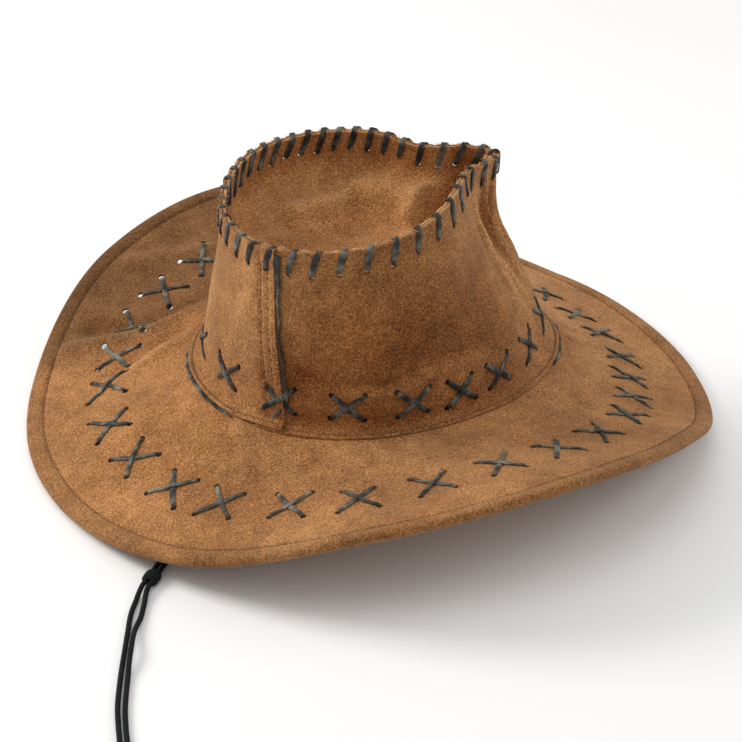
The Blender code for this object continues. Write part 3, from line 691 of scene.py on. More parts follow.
class Look:
    """A material being built: its shader, and nodes that are added one by one."""

    def __init__(self, name, roughness, specular=0.5, metallic=0.0):
        self.material = bpy.data.materials.new(name)
        self.material.use_nodes = True
        self.shader = self.material.node_tree.nodes["Principled BSDF"].inputs
        self.set("Roughness", roughness)
        self.set("Specular IOR Level", specular)
        self.set("Metallic", metallic)

    def set(self, socket, value):
        self.shader[socket].default_value = value

    def node(self, kind):
        return self.material.node_tree.nodes.new("ShaderNode" + kind)

    def link(self, output, socket):
        self.material.node_tree.links.new(output, socket)

    def noise(self, scale, detail):
        """Noise with scale features per metre."""
        texture = self.node("TexNoise")
        texture.inputs["Scale"].default_value = scale
        texture.inputs["Detail"].default_value = detail
        self.link(self.node("TexCoord").outputs["Object"], texture.inputs["Vector"])
        return texture.outputs["Fac"]

    def attribute(self, name):
        made = self.node("Attribute")
        made.attribute_name = name
        return made.outputs["Fac"]

    def math(self, operation, first, second):
        """A math node on two sockets or numbers."""
        made = self.node("Math")
        made.operation = operation
        for socket, value in zip(made.inputs, (first, second)):
            if hasattr(value, "is_linked"):
                self.link(value, socket)
            else:
                socket.default_value = value
        return made.outputs["Value"]

    def weigh(self, first, first_share, second, second_share):
        """A weighted sum of two sockets."""
        return self.math("ADD", self.math("MULTIPLY", first, first_share),
                         self.math("MULTIPLY", second, second_share))

    def ramp(self, fac, *stops):
        """A colour ramp through stops of (place, colour)."""
        made = self.node("ValToRGB")
        while len(made.color_ramp.elements) < len(stops):
            made.color_ramp.elements.new(0.5)
        for element, (place, colour) in zip(made.color_ramp.elements, stops):
            element.position = place
            element.color = (*colour, 1.0)
        self.link(fac, made.inputs["Fac"])
        return made.outputs["Color"]

    def colour(self, output):
        self.link(output, self.shader["Base Color"])

    def bump(self, height, strength, distance):
        made = self.node("Bump")
        made.inputs["Strength"].default_value = strength
        made.inputs["Distance"].default_value = distance
        self.link(height, made.inputs["Height"])
        self.link(made.outputs["Normal"], self.shader["Normal"])


# Features per metre and detail of the suede's mottle, patches, nap and single fibres
SUEDE_NOISE = [(24.0, 4.0), (95.0, 3.0), (820.0, 1.5), (1700.0, 1.0)]


def suede(name, dark, middle, light, sheen=0.25):
    """Napped suede: mottled colour, a grain of fibres, a soft sheen, and the painted tone and shade."""
    look = Look(name, 0.93, 0.15)
    mottle, patch, nap, fibre = (look.noise(scale, detail) for scale, detail in SUEDE_NOISE)
    fine = look.weigh(nap, 0.60, fibre, 0.45)
    amount = look.math("ADD", look.weigh(mottle, 0.34, patch, 0.16), fine)
    toned = look.node("Gamma")
    look.link(look.ramp(amount, (0.58, dark), (0.775, middle), (0.97, light)), toned.inputs["Color"])
    look.link(look.math("SUBTRACT", 2.0, look.attribute("tone")), toned.inputs["Gamma"])
    shaded = look.node("Mix")
    shaded.data_type = "RGBA"
    shaded.blend_type = "MULTIPLY"
    shaded.inputs["Factor"].default_value = 1.0
    look.link(toned.outputs["Color"], shaded.inputs["A"])
    look.link(look.attribute("shade"), shaded.inputs["B"])
    look.colour(shaded.outputs["Result"])
    look.set("Sheen Weight", sheen)
    look.set("Sheen Roughness", 0.5)
    look.set("Sheen Tint", (0.95, 0.66, 0.42, 1.0))
    look.bump(fine, 0.9, 0.0014)
    return look.material


def lace_material(name, dark, middle, worn):
    """Dark slate lace with worn, paler patches and a fine grain."""
    look = Look(name, 0.7, 0.25)
    wear, grain = look.noise(130.0, 3.0), look.noise(1500.0, 3.0)
    look.colour(look.ramp(look.weigh(wear, 0.8, grain, 0.35), (0.44, dark), (0.58, middle), (0.72, worn)))
    look.bump(grain, 0.4, 0.0003)
    return look.material


def plain_material(name, roughness, scale, dark, light, bump=0.0, specular=0.5, metallic=0.0,
                   stops=(0.3, 0.7)):
    """Fine noise between two colours, and bump from the same noise."""
    look = Look(name, roughness, specular, metallic)
    grain = look.noise(scale, 2.0)
    look.colour(look.ramp(grain, (stops[0], dark), (stops[1], light)))
    if bump:
        look.bump(grain, bump, 0.0002)
    return look.material


# ---------------------------------------------------------------- camera, floor and light

def add_camera():
    azimuth, elevation, roll = (math.radians(a) for a in (CAMERA_AZIMUTH, CAMERA_ELEVATION, CAMERA_ROLL))
    right = Vector((math.cos(azimuth), math.sin(azimuth), 0))
    back = Vector((math.sin(azimuth) * math.cos(elevation), -math.cos(azimuth) * math.cos(elevation),
                   math.sin(elevation)))
    up = back.cross(right)
    rolled_right = right * math.cos(roll) + up * math.sin(roll)
    rolled_up = up * math.cos(roll) - right * math.sin(roll)
    lens = bpy.data.cameras.new("camera")
    lens.lens = CAMERA_LENS
    lens.sensor_width = 36.0
    lens.clip_start, lens.clip_end = 0.05, 30.0
    camera = add_object("camera", lens)
    turned = Matrix((rolled_right, rolled_up, back)).transposed().to_4x4()
    camera.matrix_world = Matrix.Translation(CAMERA_TARGET + back * CAMERA_DISTANCE) @ turned
    bpy.context.scene.camera = camera


def add_light(name, place, size, power, colour=(1.0, 1.0, 1.0)):
    lamp = bpy.data.lights.new(name, "AREA")
    lamp.shape = "SQUARE"
    lamp.size = size
    lamp.energy = power
    lamp.color = colour
    light = add_object(name, lamp)
    light.location = place
    light.rotation_mode = "QUATERNION"
    light.rotation_quaternion = (Vector(place) - LIGHT_TARGET).to_track_quat("Z", "Y")


def make_studio():
    builder = bmesh.new()
    bmesh.ops.create_grid(builder, x_segments=1, y_segments=1, size=4.0)
    floor = mesh_object("studio_floor", builder)
    look = Look("studio_floor", 0.9)
    look.set("Base Color", (0.92, 0.92, 0.92, 1.0))
    floor.data.materials.append(look.material)
    world = bpy.context.scene.world or bpy.data.worlds.new("studio")
    bpy.context.scene.world = world
    world.use_nodes = True
    sky = world.node_tree.nodes["Background"]
    sky.inputs["Color"].default_value = (1.0, 1.0, 1.0, 1.0)
    sky.inputs["Strength"].default_value = 0.60
    bpy.context.scene.view_settings.view_transform = "Standard"
    add_light("key", (-1.05, 1.05, 0.92), 0.7, 21.0, (1.0, 0.97, 0.93))
    add_light("top", (-0.2, -0.1, 1.7), 1.2, 4.5)
    add_light("front", (1.25, -0.45, 0.75), 0.7, 4.5)


# ---------------------------------------------------------------- chin cord

def braided_tube(path):
    """Sections of the braided cord: strands wind both ways and cross over and under."""
    sections = []
    for index, (along, side, over) in enumerate(section_frames(path)):
        wind = 2 * math.pi * index * (path[1] - path[0]).length / BRAID_LAY

        def radius(angle):
            half = BRAID_STRANDS / 2
            plait = math.sin(half * (angle + wind)) * math.sin(half * (angle - wind))
            return CORD_RADIUS * (1 - BRAID_RELIEF + BRAID_RELIEF * plait)

        sections.append(ring(path[index], side, over, radius, 24))
    return sections


def make_cord(side, points, look):
    """One strand of the chin cord, along its CAD route: the piece, its path and its length in metres."""
    path = even_path(smooth_path(points, 24), 0.55)
    for point in path:
        point.z = max(point.z, CORD_RADIUS)
    builder = loft(braided_tube([point - HEAD_CENTRE for point in path]))
    cord = finish_mesh(f"cord_{side}", builder, look, f"chin_cord_{side}", angle=80.0)
    return cord, [point * MM for point in path[::4] + path[-1:]], run_lengths(path)[-1] * MM


def make_end_knot(name, end, before, look):
    """An overhand knot pulled tight on the end of a cord: a trefoil of cord."""
    along = (end - before).normalized()
    centre = end + along * (KNOT_RADIUS + GAP - KNOT_OVERLAP)
    centre.z = max(centre.z, KNOT_RADIUS)
    side = along.cross(UP)
    side = side.normalized() if side.length > 0.1 else Vector((1, 0, 0))
    over = side.cross(along)
    path = []
    for t in (math.radians(turn) for turn in rounds(72)):
        a = (math.sin(t) + 2 * math.sin(2 * t)) / 3
        b = (math.cos(t) - 2 * math.cos(2 * t)) / 3
        path.append(centre - HEAD_CENTRE + (side * a + over * b) * KNOT_SPREAD
                    - along * math.sin(3 * t) * KNOT_WEAVE)
    return finish_mesh(name, loft(tube(path, KNOT_CORD, 12, True), True), look,
                       name.replace("_", "_knot_"), angle=80.0)


def make_slider(look):
    """The sliding knot: the cord wound round both strands, with a wrap that crosses over."""
    heading = math.radians(SLIDER_HEADING)
    along = Vector((math.cos(heading), math.sin(heading), 0))
    side = Vector((-along.y, along.x, 0))
    centre = SLIDER_CENTRE - HEAD_CENTRE

    def turn_point(place, half_width, half_height, angle):
        return (centre + along * place + side * half_width * math.cos(angle)
                + UP * half_height * math.sin(angle))

    wound = []
    for part in spread(0.0, 1.0, 151):
        angle = 2 * math.pi * SLIDER_WRAPS * part + 0.6
        bulge = 1 - 0.10 * (2 * part - 1)**2
        place = (part - 0.5) * (SLIDER_LENGTH - 3.0) + 0.5 * math.sin(angle)
        wound.append(turn_point(place, 3.62 * bulge, 1.95 * bulge, angle))
    crossing = [turn_point((part - 0.5) * (SLIDER_LENGTH - 4.5), 3.3, 2.35, math.pi * (0.12 + 0.76 * part))
                for part in spread(0.0, 1.0, 31)]
    builder = loft(tube(wound, tapered(151, 1.02, 0.35), 12))
    loft(tube(crossing, tapered(31, 0.95, 0.3), 12), builder=builder)
    return finish_mesh("slider_knot", builder, look, "cord_slider_knot", "cord_slider", 80.0)


def make_chin_cord():
    look = plain_material("black_cord", 0.85, 2200.0, (0.002, 0.003, 0.0035), (0.007, 0.009, 0.011),
                          0.35, 0.25)
    slider = make_slider(look)
    for side, route in (("left", CORD_LEFT_ROUTE), ("right", CORD_RIGHT_ROUTE)):
        points = [Vector(point) for point in route]
        cord, path, length = make_cord(side, points, look)
        on_cord = [make_end_knot(f"stopper_{side}", points[0], points[1], look),
                   make_end_knot(f"tail_{side}", points[-1], points[-2], look)]
        if side == "left":
            on_cord.append(slider)


# ---------------------------------------------------------------- laces

def strap(stations, closed):
    """Sections of a flat lace through stations: a point, a width direction and a share of full width."""
    points = smooth_path([s[0] for s in stations], 3, closed)
    across = smooth_path([s[1] for s in stations], 3, closed)
    widths = [w.x for w in smooth_path([Vector((s[2], 0, 0)) for s in stations], 3, closed)]
    turns = [math.radians(turn) for turn in rounds(10)]
    sections = []
    for (along, *_), point, wide, share in zip(section_frames(points, closed), points, across, widths):
        side = (wide - along * wide.dot(along)).normalized() * LACE_WIDTH / 2 * share
        through = side.normalized().cross(along) * LACE_THICKNESS / 2 * (1.25 - 0.25 * share)
        sections.append([point + side * math.copysign(abs(math.cos(a))**0.6, math.cos(a))
                         + through * math.copysign(abs(math.sin(a))**0.7, math.sin(a)) for a in turns])
    return sections


def cross_row(surface, normal, depth, directions, halves, level, slim):
    """Stations and holes of one of the two closed laces that make a row of crosses.

    surface(direction, side) is the suede's outer face, normal(direction, side) its normal, and
    depth(direction) how far down its back is. On the face the lace makes one arm of each cross.
    """
    half_along, half_side = halves[:2]
    stations = []
    holes = []
    for k, middle in enumerate(directions):
        along = half_along - halves[2] * bell(away(middle, 348), 42)
        step = along / (surface(middle + 0.5, 0) - surface(middle - 0.5, 0)).length
        shake = 0.10 * math.sin(k * 2.3 + level)
        start, end = middle - step * (1 + shake), middle + step * (1 - shake)
        side_start, side_end = half_side * level * (1 + shake), -half_side * level * (1 - shake)
        entry, leave = surface(start, side_start), surface(end, side_end)
        arm = (leave - entry).normalized()
        arm_across = arm.cross(normal(middle, 0)).normalized()
        dash = (surface(middle + step, 0) - surface(middle - step, 0)).normalized()
        hole_across = (arm + dash).cross(normal(middle, 0)).normalized()
        top = LACE_UPPER if level * (-1)**k > 0 else LACE_LIE
        wide = slim * (1 + 0.14 * math.sin(k * 3.7 + level))
        torn = 0.45 * bell(away(middle, 132), 34) if slim < 1 else 0.0
        ends = []
        for direction, side, inward in ((start, side_start, arm), (end, side_end, -arm)):
            place, axis = surface(direction, side), normal(direction, side)
            centre = place - inward * (HOLE_SHIFT + torn)
            holes.append((centre - axis * (depth(direction) / 2), axis, HOLE_RADIUS + torn))
            ends.append([(place - axis * (depth(direction) + LACE_BEHIND), hole_across, 0.85),
                         (place - axis * 0.9, (hole_across + arm_across).normalized(), 0.66),
                         (place + axis * 0.35 + inward * 0.5, arm_across, 0.72)])
        stations += ends[0]
        for share, lift, width in ARM_RUN:
            direction = start + (end - start) * share
            side = side_start + (side_end - side_start) * share
            rise = LACE_LIE + (top - LACE_LIE) * lift
            point = surface(direction, side) + normal(direction, side) * rise
            stations.append((point, arm_across, width * wide))
        stations += reversed(ends[1])
        level = -level
    return stations, holes


def brim_lace_place(direction, side):
    return brim_skin(direction, around(BRIM_CROSS_OUT, direction) + side)


def brim_lace_normal(direction, side):
    return -normal_of(brim_skin, direction, around(BRIM_CROSS_OUT, direction) + side, 1.0)


def crown_lace_place(direction, side):
    return crown_skin(direction, (CROWN_CROSS_HEIGHT + side) / around(RIDGE_HEIGHT, direction))


def crown_lace_normal(direction, side):
    share = (CROWN_CROSS_HEIGHT + side) / around(RIDGE_HEIGHT, direction)
    return wall_normal(direction, share)


def crown_lace_depth(direction):
    share = CROWN_CROSS_HEIGHT / around(RIDGE_HEIGHT, direction)
    return SUEDE + seam_lift(outside_turn(direction, share))


def add_lace(name, stations, look, node, closed=True):
    finish_mesh(name, loft(strap(stations, closed), closed), look, node, angle=60.0)


def make_cross_rows(look, brim_look):
    """The two laces of each row, and the holes that they need."""
    brim_holes = []
    crown_holes = []
    for letter, level in (("a", 1), ("b", -1)):
        stations, holes = cross_row(brim_lace_place, brim_lace_normal, lambda direction: SUEDE,
                                    BRIM_CROSS_DIRECTIONS, (*BRIM_CROSS_HALF, 2.6), level, 0.86)
        brim_holes += holes
        add_lace(f"brim_cross_lace_{letter}", stations, brim_look, f"brim_lace_{letter}")
        stations, holes = cross_row(crown_lace_place, crown_lace_normal, crown_lace_depth,
                                    CROWN_CROSS_DIRECTIONS, (*CROWN_CROSS_HALF, 0.0), level, 1.0)
        crown_holes += holes
        add_lace(f"foot_cross_lace_{letter}", stations, look, f"crown_foot_lace_{letter}")
    return brim_holes, crown_holes


def whip_share(number, direction):
    """Height of a whip stitch's hole, as a share of the wall; the depths vary a little."""
    return 1 - WHIP_DEPTH * (1 + 0.06 * math.sin(number * 1.9)) / ridge(direction).z


def ridge_along(direction):
    return (ridge(direction + 1) - ridge(direction - 1)).normalized()


def make_whip_lace(look):
    """The lace overcast round the ridge, and its holes through side and tip."""
    stations = []
    holes = []
    behind = 2 * SUEDE + TIP_GAP

    def inner_face(direction, share):
        return -seam_lift(outside_turn(direction, share)) - behind - LACE_LIE

    for k, direction in enumerate(WHIPS):
        following = WHIPS[(k + 1) % len(WHIPS)]
        share, next_share = whip_share(k, direction), whip_share(k + 1, following)
        along, next_along = ridge_along(direction), ridge_along(following)
        inside, next_inside = inner_face(direction, 1.0), inner_face(following, next_share)
        pitch = (following - direction) % 360.0
        outward = wall_normal(direction, share)
        hole = crown_skin(direction, share)
        lean = 0.12 * math.sin(k * 2.7)
        stations += [(hole - outward * 1.2, along, 0.62), (hole + outward * 0.3 + UP * 0.6, along, 0.72)]
        crossing = 0.33 + 0.21 * math.cos(math.radians(direction - FAR_SIDE))
        for part, down, width in WHIP_OUTER_RUN:
            place = direction + part * crossing * pitch
            stations.append((crown_skin(place, 1 - down * (1 - share), LACE_LIE + lean), along, width))
        for part, depth_share in WHIP_TOP_RUN:
            stand = LACE_LIE - (behind + 2 * LACE_LIE) * depth_share
            place = crown_skin(direction + (crossing + part) * pitch, 1.0, stand)
            stations.append((place + UP * math.sin(math.pi * depth_share), along, 0.95))
        for part, down, width in WHIP_INNER_RUN:
            stand = inside + (next_inside - inside) * part
            place = direction + (crossing + part * (1 - crossing)) * pitch
            stations.append((crown_skin(place, 1 - down * (1 - next_share), stand), next_along, width))
        stations.append((crown_skin(following, next_share, next_inside * 0.75), next_along, 0.65))
        holes.append((crown_skin(direction, share - 0.006, -behind / 2), outward, HOLE_RADIUS - 0.1))
    add_lace("ridge_whip_lace", stations, look, "crown_tip_lace")
    return holes


def make_seam_lace(look):
    """The dark lace that runs down the raw edge of the back seam, twisted at its top."""
    stations = []
    for share, aside, width in SEAM_LACE_TAIL:
        direction = column(SEAM_LACE, 0.13) + aside
        stations.append((crown_skin(direction, share, 0.5), wall_along(direction, share), width))
    for k, share in enumerate(spread(0.15, 0.965, 24)):
        direction = column(SEAM_LACE, share) + 0.3 * math.sin(k * 1.1) - 0.35
        outward = wall_normal(direction, share)
        tilt = math.radians(50 * bell(share - 0.5, 0.3) - 35 * bell(share - 0.9, 0.06))
        across = wall_along(direction, share) * math.cos(tilt) + outward * math.sin(tilt)
        lift = 0.95 + 0.6 * bell(share - 0.93, 0.04)
        base = wall_skin(direction, share) + outward * (SUEDE * 0.5 + lift)
        stations.append((base, across, 0.8 + 0.35 * fade(share, 0.8, 0.93)))
    add_lace("seam_lace", stations, look, "back_seam_lace", closed=False)


def make_foot_edges(look):
    """The dark edge that shows under the crown's foot at the left and at the front right."""
    for side, (first, last) in (("back", (150, 197)), ("front", (318, 352))):
        stations = []
        for direction in spread(first, last, 26):
            out = FOOT_EDGE_OUT + 0.25 * math.sin(direction * 0.9)
            end = min(direction - first, last - direction) / 6
            height = 0.15 + 0.5 * fade(end, 0.0, 1.0)
            point = brim_skin(direction, out) + UP * height
            outward = (brim_top(direction, out + 1) - brim_top(direction, out)).normalized()
            stations.append((point, outward, 0.30 + 0.30 * fade(end, 0.0, 1.0)))
        add_lace(f"foot_edge_{side}", stations, look, None, closed=False)


# ---------------------------------------------------------------- stitches

def make_stitches(name, places, look, node):
    """A row of separate stitches along a path of (point, normal), each end dipping into the suede."""
    path = [point for point, normal in places]
    lengths = run_lengths(path)
    builder = bmesh.new()
    for number in range(int(lengths[-1] / STITCH_PITCH)):
        centres = []
        for share, lift, radius in STITCH_PROFILE:
            point, k = at_length(path, lengths, number * STITCH_PITCH + share * STITCH_LENGTH)
            centres.append(point + places[k][1] * lift)
        radii = [radius for share, lift, radius in STITCH_PROFILE]
        loft(tube(centres, radii, 7), builder=builder)
    finish_mesh(name, builder, look, node, angle=60.0)


# ---------------------------------------------------------------- brim

def brim_section(direction):
    """Closed outline of the brim sheet: top, rolled hem, and underside."""
    reach = around(BRIM_REACH, direction)
    edge = reach - HEM_WIDTH
    flat = [BRIM_INNER_EDGE, -4.0, -2.0] + spread(0.0, edge - 4.0, BRIM_ROWS)
    groove = [edge + shift for shift in (-2.8, -1.9, -1.2, -0.6, 0.0, 0.6, 1.2, 1.9, 2.8, 4.0, 5.4)]
    centre_out = reach - HEM_FOLD_OUTER
    centre = brim_top(direction, centre_out) - UP * HEM_FOLD_OUTER
    outward = (brim_top(direction, reach) - brim_top(direction, centre_out)).xy.normalized().to_3d()

    def top_face(out):
        dent = (0.35 * bell(out - edge - 4.2, 2.6) - 0.95 * bell(out - edge, 0.95)
                - 0.25 * bell(out - edge + 3, 1.8))
        return brim_skin(direction, out) + UP * dent

    def fold(radius, degrees):
        turn = math.radians(degrees)
        return centre + outward * radius * math.cos(turn) + UP * radius * math.sin(turn)

    top = [top_face(out) for out in flat + groove]
    roll = [fold(HEM_FOLD_OUTER, angle) for angle in (90, 72, 54, 36, 18, 0, -18, -36, -54, -72, -90)]
    hem_face = [brim_top(direction, edge + shift) - UP * HEM_THICKNESS for shift in (5.4, 3.6, 1.8, 0.2)]
    hem_back = [point + UP * SUEDE for point in reversed(hem_face)]
    inner_roll = [fold(HEM_FOLD_INNER, angle) for angle in (-90, -45, 0, 45, 90)]
    bottom = [brim_skin(direction, out) - UP * SUEDE for out in reversed(flat + groove[:-1])]
    return top + roll + hem_face + hem_back + inner_roll + bottom


def direction_of(point):
    return math.degrees(math.atan2(point.y / HEAD_WIDTH, point.x / HEAD_LENGTH)) % 360


def brim_colour(point):
    """Duller hem; painted shade on the turned-up far side and by the crown's foot; painted light and shade on
    creases.
    """
    direction = direction_of(point)
    out = point.xy.length - math.hypot(*oval(direction))
    reach = around(BRIM_REACH, direction)
    # Painted shade: the turned-up far side faces away from the key light, so it is darkened up to shaded_end
    shaded_end = 122 + 22 * (1 - math.exp(-(max(out, 20) - 20) / 18))
    dark = fade(shaded_end - direction, -2, 6) * fade(direction, 55, 95) * fade(out, 8, 24)
    # Painted shade on the brim next to the crown's foot, and a paler patch at the front right
    tone = 1.0 - 0.05 * bell(out - 6, 10) + 0.08 * bell(away(direction, 335), 16) * bell(out - 34, 9)
    tone += 0.07 * rough(point.x, point.y, 4.0, 60.0)
    # Painted light and shade on the creases: paler on their crests, darker in their hollows
    tone += 0.05 * line_relief(point.xy, BRIM_LINES)
    shade = 1.10 * (1 - 0.46 * dark) * (1 - 0.18 * fade(out, reach - 11.5, reach - 9.5))
    return tone, shade * (1 - 0.10 * fade(out, reach - 4, reach))


def make_brim(look, thread_look, holes):
    directions = rounds(BRIM_COLUMNS)
    sections = [brim_section(direction) for direction in directions]
    press_holes(sections, holes)
    brim = finish_mesh("brim_suede", loft(sections, True), look, "brim")
    pierce(brim, holes, 4.0)
    paint(brim, brim_colour)
    places = []
    for direction in rounds(720) + [360.0]:
        out = around(BRIM_REACH, direction) - HEM_WIDTH
        places.append((brim_skin(direction, out) - UP * HEM_THREAD_DEPTH, UP))
    make_stitches("hem_stitches", places, thread_look, "brim_hem_thread")
    wire = frame["nodes"]["brim_wire"]
    wire.data.materials.clear()
    wire.data.materials.append(plain_material("wire_steel", 0.35, 900.0, (0.42, 0.42, 0.43), (0.6, 0.6, 0.6),
                                              metallic=1.0))


# ---------------------------------------------------------------- crown

def side_column(turn):
    """Outer face of the crown strip at a turn: its flange on the brim, a round foot, and the wall."""
    lift = seam_lift(turn)

    def flange(out):
        direction = column(turn, 0.0)
        curl = 0.25 * rough(*oval(direction, out), 0.0, 9.0) - 0.8 * fade(out, 6.5, 8.0)
        for middle, width in FLANGE_GAPS:
            curl += 1.7 * bell(away(direction, middle), width) * fade(out, 5.5, 8.0)
        dent = -0.45 * bell(out - FOOT_THREAD_OUT, 0.7)
        return brim_top(direction, out) + UP * (FLANGE_GAP + SUEDE + lift + curl + dent)

    def face(share):
        direction = column(turn, share)
        normal = wall_normal(direction, share)
        dent = 0.0
        for thread in SEAM_THREADS:
            pucker = 0.9 + 0.25 * math.sin(share * 110 + thread)
            dent -= pucker * bell(turn - thread - 360, 0.6) * fade(share, 0.06, 0.12)
        puff = (0.5 + 0.3 * rough(share * 100, turn, 0.0, 5.0)) * bell(turn - SEAM_EDGE - 359, 1.6)
        return wall_skin(direction, share) + normal * (lift + dent + puff)

    low, high = flange(3.4), face(WALL_START)
    corner = wall(column(turn, 0.0), 0.0)
    corner.z = low.z
    corner = corner.lerp(low, 0.15)
    turn_up = [low.lerp(corner, t).lerp(corner.lerp(high, t), t) for t in (0.25, 0.5, 0.75)]
    return ([flange(out) for out in (8.0, 7.4, 6.6, 6.0, 5.5, 5.0, 4.3, 3.4)] + turn_up
            + [face(share) for share in spread(WALL_START, 1.0, CROWN_ROWS)])


def crown_colour(point):
    """Painted shade in darker, redder patches on the near side and the wearer's right; a painted sheen in
    pale streaks at the front; painted light and shade on the creases.
    """
    direction = direction_of(point)
    share = point.z / around(RIDGE_HEIGHT, direction)
    # Painted shade on the near side, which faces away from the key light; the tone's gamma makes it redder as
    # well as darker, most of all low on the wall
    near = fade(direction, 206, 222) * (1 - fade(direction, 292, 312))
    tone = 0.98 + 0.08 * rough(point.x, point.y, point.z, 36.0)
    tone -= near * (0.04 + 0.10 * (1 - fade(share, 0.5, 0.9)))
    # Painted shade: a patch on the wearer's right, a spot in the crease hollow at 221 degrees, and the near
    # wall's foot by the brim
    tone -= 0.17 * bell(away(direction, 272), 24) * bell(share - 0.47, 0.12)
    tone -= 0.24 * bell(away(direction, 220), 7) * bell(share - 0.30, 0.09)
    tone -= 0.10 * bell(share - 0.06, 0.05) * near
    # Painted light and shade on the creases: paler on their crests, darker in their hollows
    tone += 0.09 * crease_relief(direction, share)
    # A painted sheen in pale streaks at the front right, in both tone and shade; the shade also takes off
    # painted shade on the near side
    sheen_streak = 0.5 + rough(direction * 1.5, share * 3, 0.0, 4.0)
    painted_sheen = sheen_streak * bell(away(direction, 332), 17) * bell(share - 0.6, 0.35)
    return tone + 0.24 * painted_sheen + 0.30 * fade(share, 0.990, 1.0), 1.0 + 0.35 * painted_sheen - 0.06 * near


def make_crown_side(look, holes, whip_holes):
    start = SEAM_EDGE - SEAM_LAP
    turns = spread(start, start + 360.0 + SEAM_LAP, CROWN_COLUMNS)
    rows = [side_column(turn) for turn in turns]
    press_holes(rows, [(centre + axis * (SUEDE / 2), axis) for centre, axis, radius in holes + whip_holes])
    side = finish_mesh("crown_side_suede", shell(rows, False, SUEDE), look, "crown_side")
    pierce(side, holes + whip_holes, 4.2)
    paint(side, crown_colour)


def tip_column(direction):
    """Inner face of the tip, from the raw top edge down its flange and in over the sunken panel."""
    face = SUEDE + TIP_GAP
    share_low = 1 - FLANGE_DEPTH / ridge(direction).z
    points = []
    for share in spread(1.0, share_low + 0.03, TIP_FLANGE_ROWS):
        points.append(wall_skin(direction, share) - wall_normal(direction, share) * (face + SUEDE))
    low = wall(direction, share_low) - normal_of(wall, direction, share_low, 0.01) * (face + SUEDE)
    middle = Vector((0, 0, TIP_LEVEL))
    for scale in spread(0.97, 0.02, TIP_ROWS):
        point = middle.lerp(low, scale) - UP * (tip_drop(scale) - 0.9 * bell(scale - 0.97, 0.05))
        point.z += tip_relief(point.x, point.y, scale)
        points.append(point)
    return points


def tip_colour(point):
    """Painted light and shade on the folds, paler on their crests and darker on a steep fold; a paler raw
    edge; painted light over the whole tip.
    """
    flat = point.xy
    tone = 0.98 + 0.07 * rough(point.x, point.y, point.z, 40.0)
    # Painted light and shade on the folds, and painted shade along the steep fold of TIP_SHADE
    tone += 0.02 * line_relief(flat, TIP_LINES) - 0.10 * bell(segment_distance(flat, *TIP_SHADE), 9)
    direction = math.degrees(math.atan2(point.y, point.x - RIDGE_CENTRE_X)) % 360
    tone += 0.25 * fade(point.z - around(RIDGE_HEIGHT, direction), -2.0, -0.5)
    # Painted light: the whole tip is brightened, as it lies in the light
    return tone, 1.20


def make_crown_tip(look, whip_holes):
    columns = [tip_column(direction) for direction in rounds(TIP_COLUMNS)]
    inward = SUEDE + TIP_GAP / 2
    press_holes(columns, [(centre - axis * inward, -axis) for centre, axis, radius in whip_holes], 0.5)
    builder = bmesh.new()
    upper, lower = ([[builder.verts.new(point + HEAD_CENTRE) for point in line] for line in face]
                    for face in (columns, back_face(columns, True, SUEDE)))
    for face in (upper, lower):
        skin_faces(builder, face, False, True)
        builder.faces.new([line[-1] for line in face])
    edges = [(top[0], bottom[0]) for top, bottom in zip(upper, lower)]
    skin_faces(builder, edges, False, True)
    tip = finish_mesh("crown_tip_suede", builder, look, "crown_tip")
    pierce(tip, whip_holes, 4.2)
    paint(tip, tip_colour)


def add_fibres(builder, chance, places, size):
    """Short bent fibres out of a raw edge. places are (point, direction away from the suede)."""
    for point, out in places:
        length = size * chance.uniform(0.4, 1.3)
        bend = Vector([chance.uniform(-1, 1) for axis in range(3)])
        tip_way = (out + bend * 0.8).normalized()
        path = [point - out * 0.4, point + tip_way * length * 0.5,
                point + (tip_way + bend * 0.5).normalized() * length]
        loft(tube(path, (0.15, 0.12, 0.04), 3), builder=builder)


def make_fuzz():
    """Frayed fibres along the raw edges of the ridge and of the back seam."""
    look = plain_material("suede_fibre", 0.95, 400.0, (0.32, 0.14, 0.05), (0.62, 0.36, 0.17),
                          stops=(0.35, 0.65))
    chance = random.Random(11)
    builder = bmesh.new()
    for depth in (0.0, -SUEDE, -SUEDE - TIP_GAP, -2 * SUEDE - TIP_GAP):
        places = []
        for number in range(FIBRES_PER_EDGE):
            direction = chance.uniform(0, 360)
            if chance.random() < 0.35:
                direction = chance.gauss(178, 26)
            lean = wall_normal(direction, 1.0) * (0.8 if depth > -SUEDE - 0.1 else -0.8)
            places.append((crown_skin(direction, 1.0, depth), (UP + lean).normalized()))
        add_fibres(builder, chance, places, RIDGE_FIBRE)
    places = []
    for number in range(SEAM_FIBRES):
        share = chance.uniform(0.05, 0.98)
        direction = column(SEAM_EDGE, share)
        outward = wall_normal(direction, share)
        places.append((wall_skin(direction, share) + outward * chance.uniform(SUEDE, 2 * SUEDE + GAP),
                       (wall_along(direction, share) + outward * 0.4).normalized()))
    add_fibres(builder, chance, places, SEAM_FIBRE)
    finish_mesh("raw_edge_fibres", builder, look, None)


def make_crown_threads(look):
    foot = []
    for turn in spread(SEAM_EDGE + 1.0, SEAM_EDGE + 359.0, 700):
        direction = column(turn, 0.0)
        lift = FLANGE_GAP + SUEDE + seam_lift(turn) - 0.2
        foot.append((brim_top(direction, FOOT_THREAD_OUT) + UP * lift, UP))
    make_stitches("foot_stitches", foot, look, "crown_foot_thread")
    for number, thread in enumerate(SEAM_THREADS, 1):
        row = []
        for share in spread(0.1, 0.93, 90):
            direction = column(thread, share)
            row.append((crown_skin(direction, share, -0.5), wall_normal(direction, share)))
        make_stitches(f"seam_stitches_{number}", row, look, f"back_seam_thread_{number}")


# ---------------------------------------------------------------- sweatband

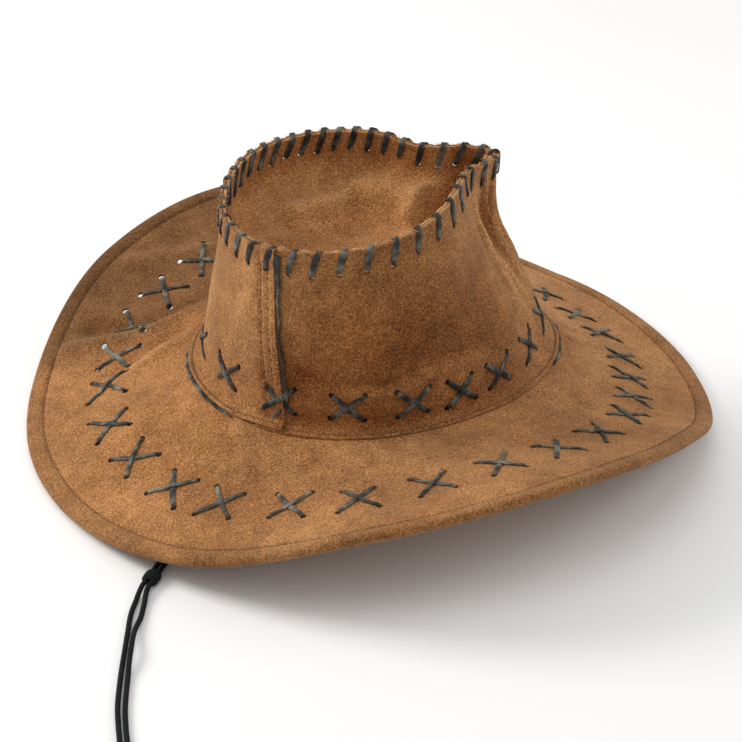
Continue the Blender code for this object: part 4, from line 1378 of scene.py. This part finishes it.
def pocket(direction):
    """How far the sweatband stands off the wall to make room for a stopper knot."""
    return max(POCKET_DEPTH * bell(away(direction, middle), POCKET_WIDTH) for middle in POCKET_DIRECTIONS)


def band_point(direction, height, depth):
    """A point of the sweatband, depth inward of its outer face."""
    share = height / around(RIDGE_HEIGHT, direction)
    rise = min(height / CORD_HOLE_HEIGHT, 1.0)
    stand_off = SUEDE + BAND_GAP + pocket(direction) * rise
    return wall(direction, share) - wall_normal(direction, share) * (stand_off + depth)


def make_sweatband(thread_look):
    look = suede("sweatband_suede", (0.10, 0.045, 0.02), (0.19, 0.085, 0.036), (0.27, 0.13, 0.06), 0.15)
    rows = []
    for direction in rounds(BAND_COLUMNS):
        foot_height = brim_top(direction, BAND_FOOT_OUT).z + BAND_FOOT_GAP
        line = []
        for share in spread(0.0, 1.0, BAND_ROWS):
            height = max(foot_height, BAND_FOOT_GAP) + share * (BAND_TOP - BAND_FOOT_GAP)
            wave = 0.35 * rough(direction / 4, height / 4, 0, 5.0) * fade(share, 0.2, 1.0)
            line.append(band_point(direction, height, max(wave, -0.3)))
        line[0].z = foot_height
        rows.append(line)
    band = finish_mesh("sweatband_leather", shell(rows, True, SWEATBAND_SUEDE), look, "sweatband")
    holes = []
    for direction in POCKET_DIRECTIONS:
        off = band_point(direction, CORD_HOLE_HEIGHT, 0.6).length * math.sin(math.radians(direction))
        centre = Vector((0, off, CORD_HOLE_HEIGHT))
        holes.append((centre, Vector((0, 1, 0)), HOLE_RADIUS))
    pierce(band, holes, 3.0)
    paint(band, lambda point: (1.0 + 0.12 * rough(point.x, point.y, point.z, 30.0), 1.0))
    places = []
    for direction in rounds(600) + [360.0]:
        point = band_point(direction, BAND_THREAD_HEIGHT, SWEATBAND_SUEDE)
        share = BAND_THREAD_HEIGHT / around(RIDGE_HEIGHT, direction)
        places.append((point, -wall_normal(direction, share)))
    make_stitches("sweatband_stitches", places, thread_look, "sweatband_thread")


# ---------------------------------------------------------------- the whole hat

def main():
    add_camera()
    make_chin_cord()
    make_studio()
    tan = suede("tan_suede", (0.13, 0.050, 0.016), (0.315, 0.136, 0.044), (0.56, 0.27, 0.100))
    thread_look = plain_material("brown_thread", 0.75, 1600.0, (0.09, 0.037, 0.012),
                                 (0.24, 0.103, 0.034), 0.4)
    lace_look = lace_material("crown_lace", (0.010, 0.010, 0.009), (0.040, 0.041, 0.038),
                              (0.16, 0.157, 0.130))
    brim_look = lace_material("brim_lace", (0.016, 0.016, 0.014), (0.068, 0.068, 0.057),
                              (0.22, 0.210, 0.163))
    brim_holes, crown_holes = make_cross_rows(lace_look, brim_look)
    whip_holes = make_whip_lace(lace_look)
    make_seam_lace(lace_look)
    make_foot_edges(lace_look)
    make_brim(tan, thread_look, brim_holes)
    make_crown_side(tan, crown_holes, whip_holes)
    make_crown_tip(tan, whip_holes)
    make_crown_threads(thread_look)
    make_fuzz()
    make_sweatband(thread_look)


main()
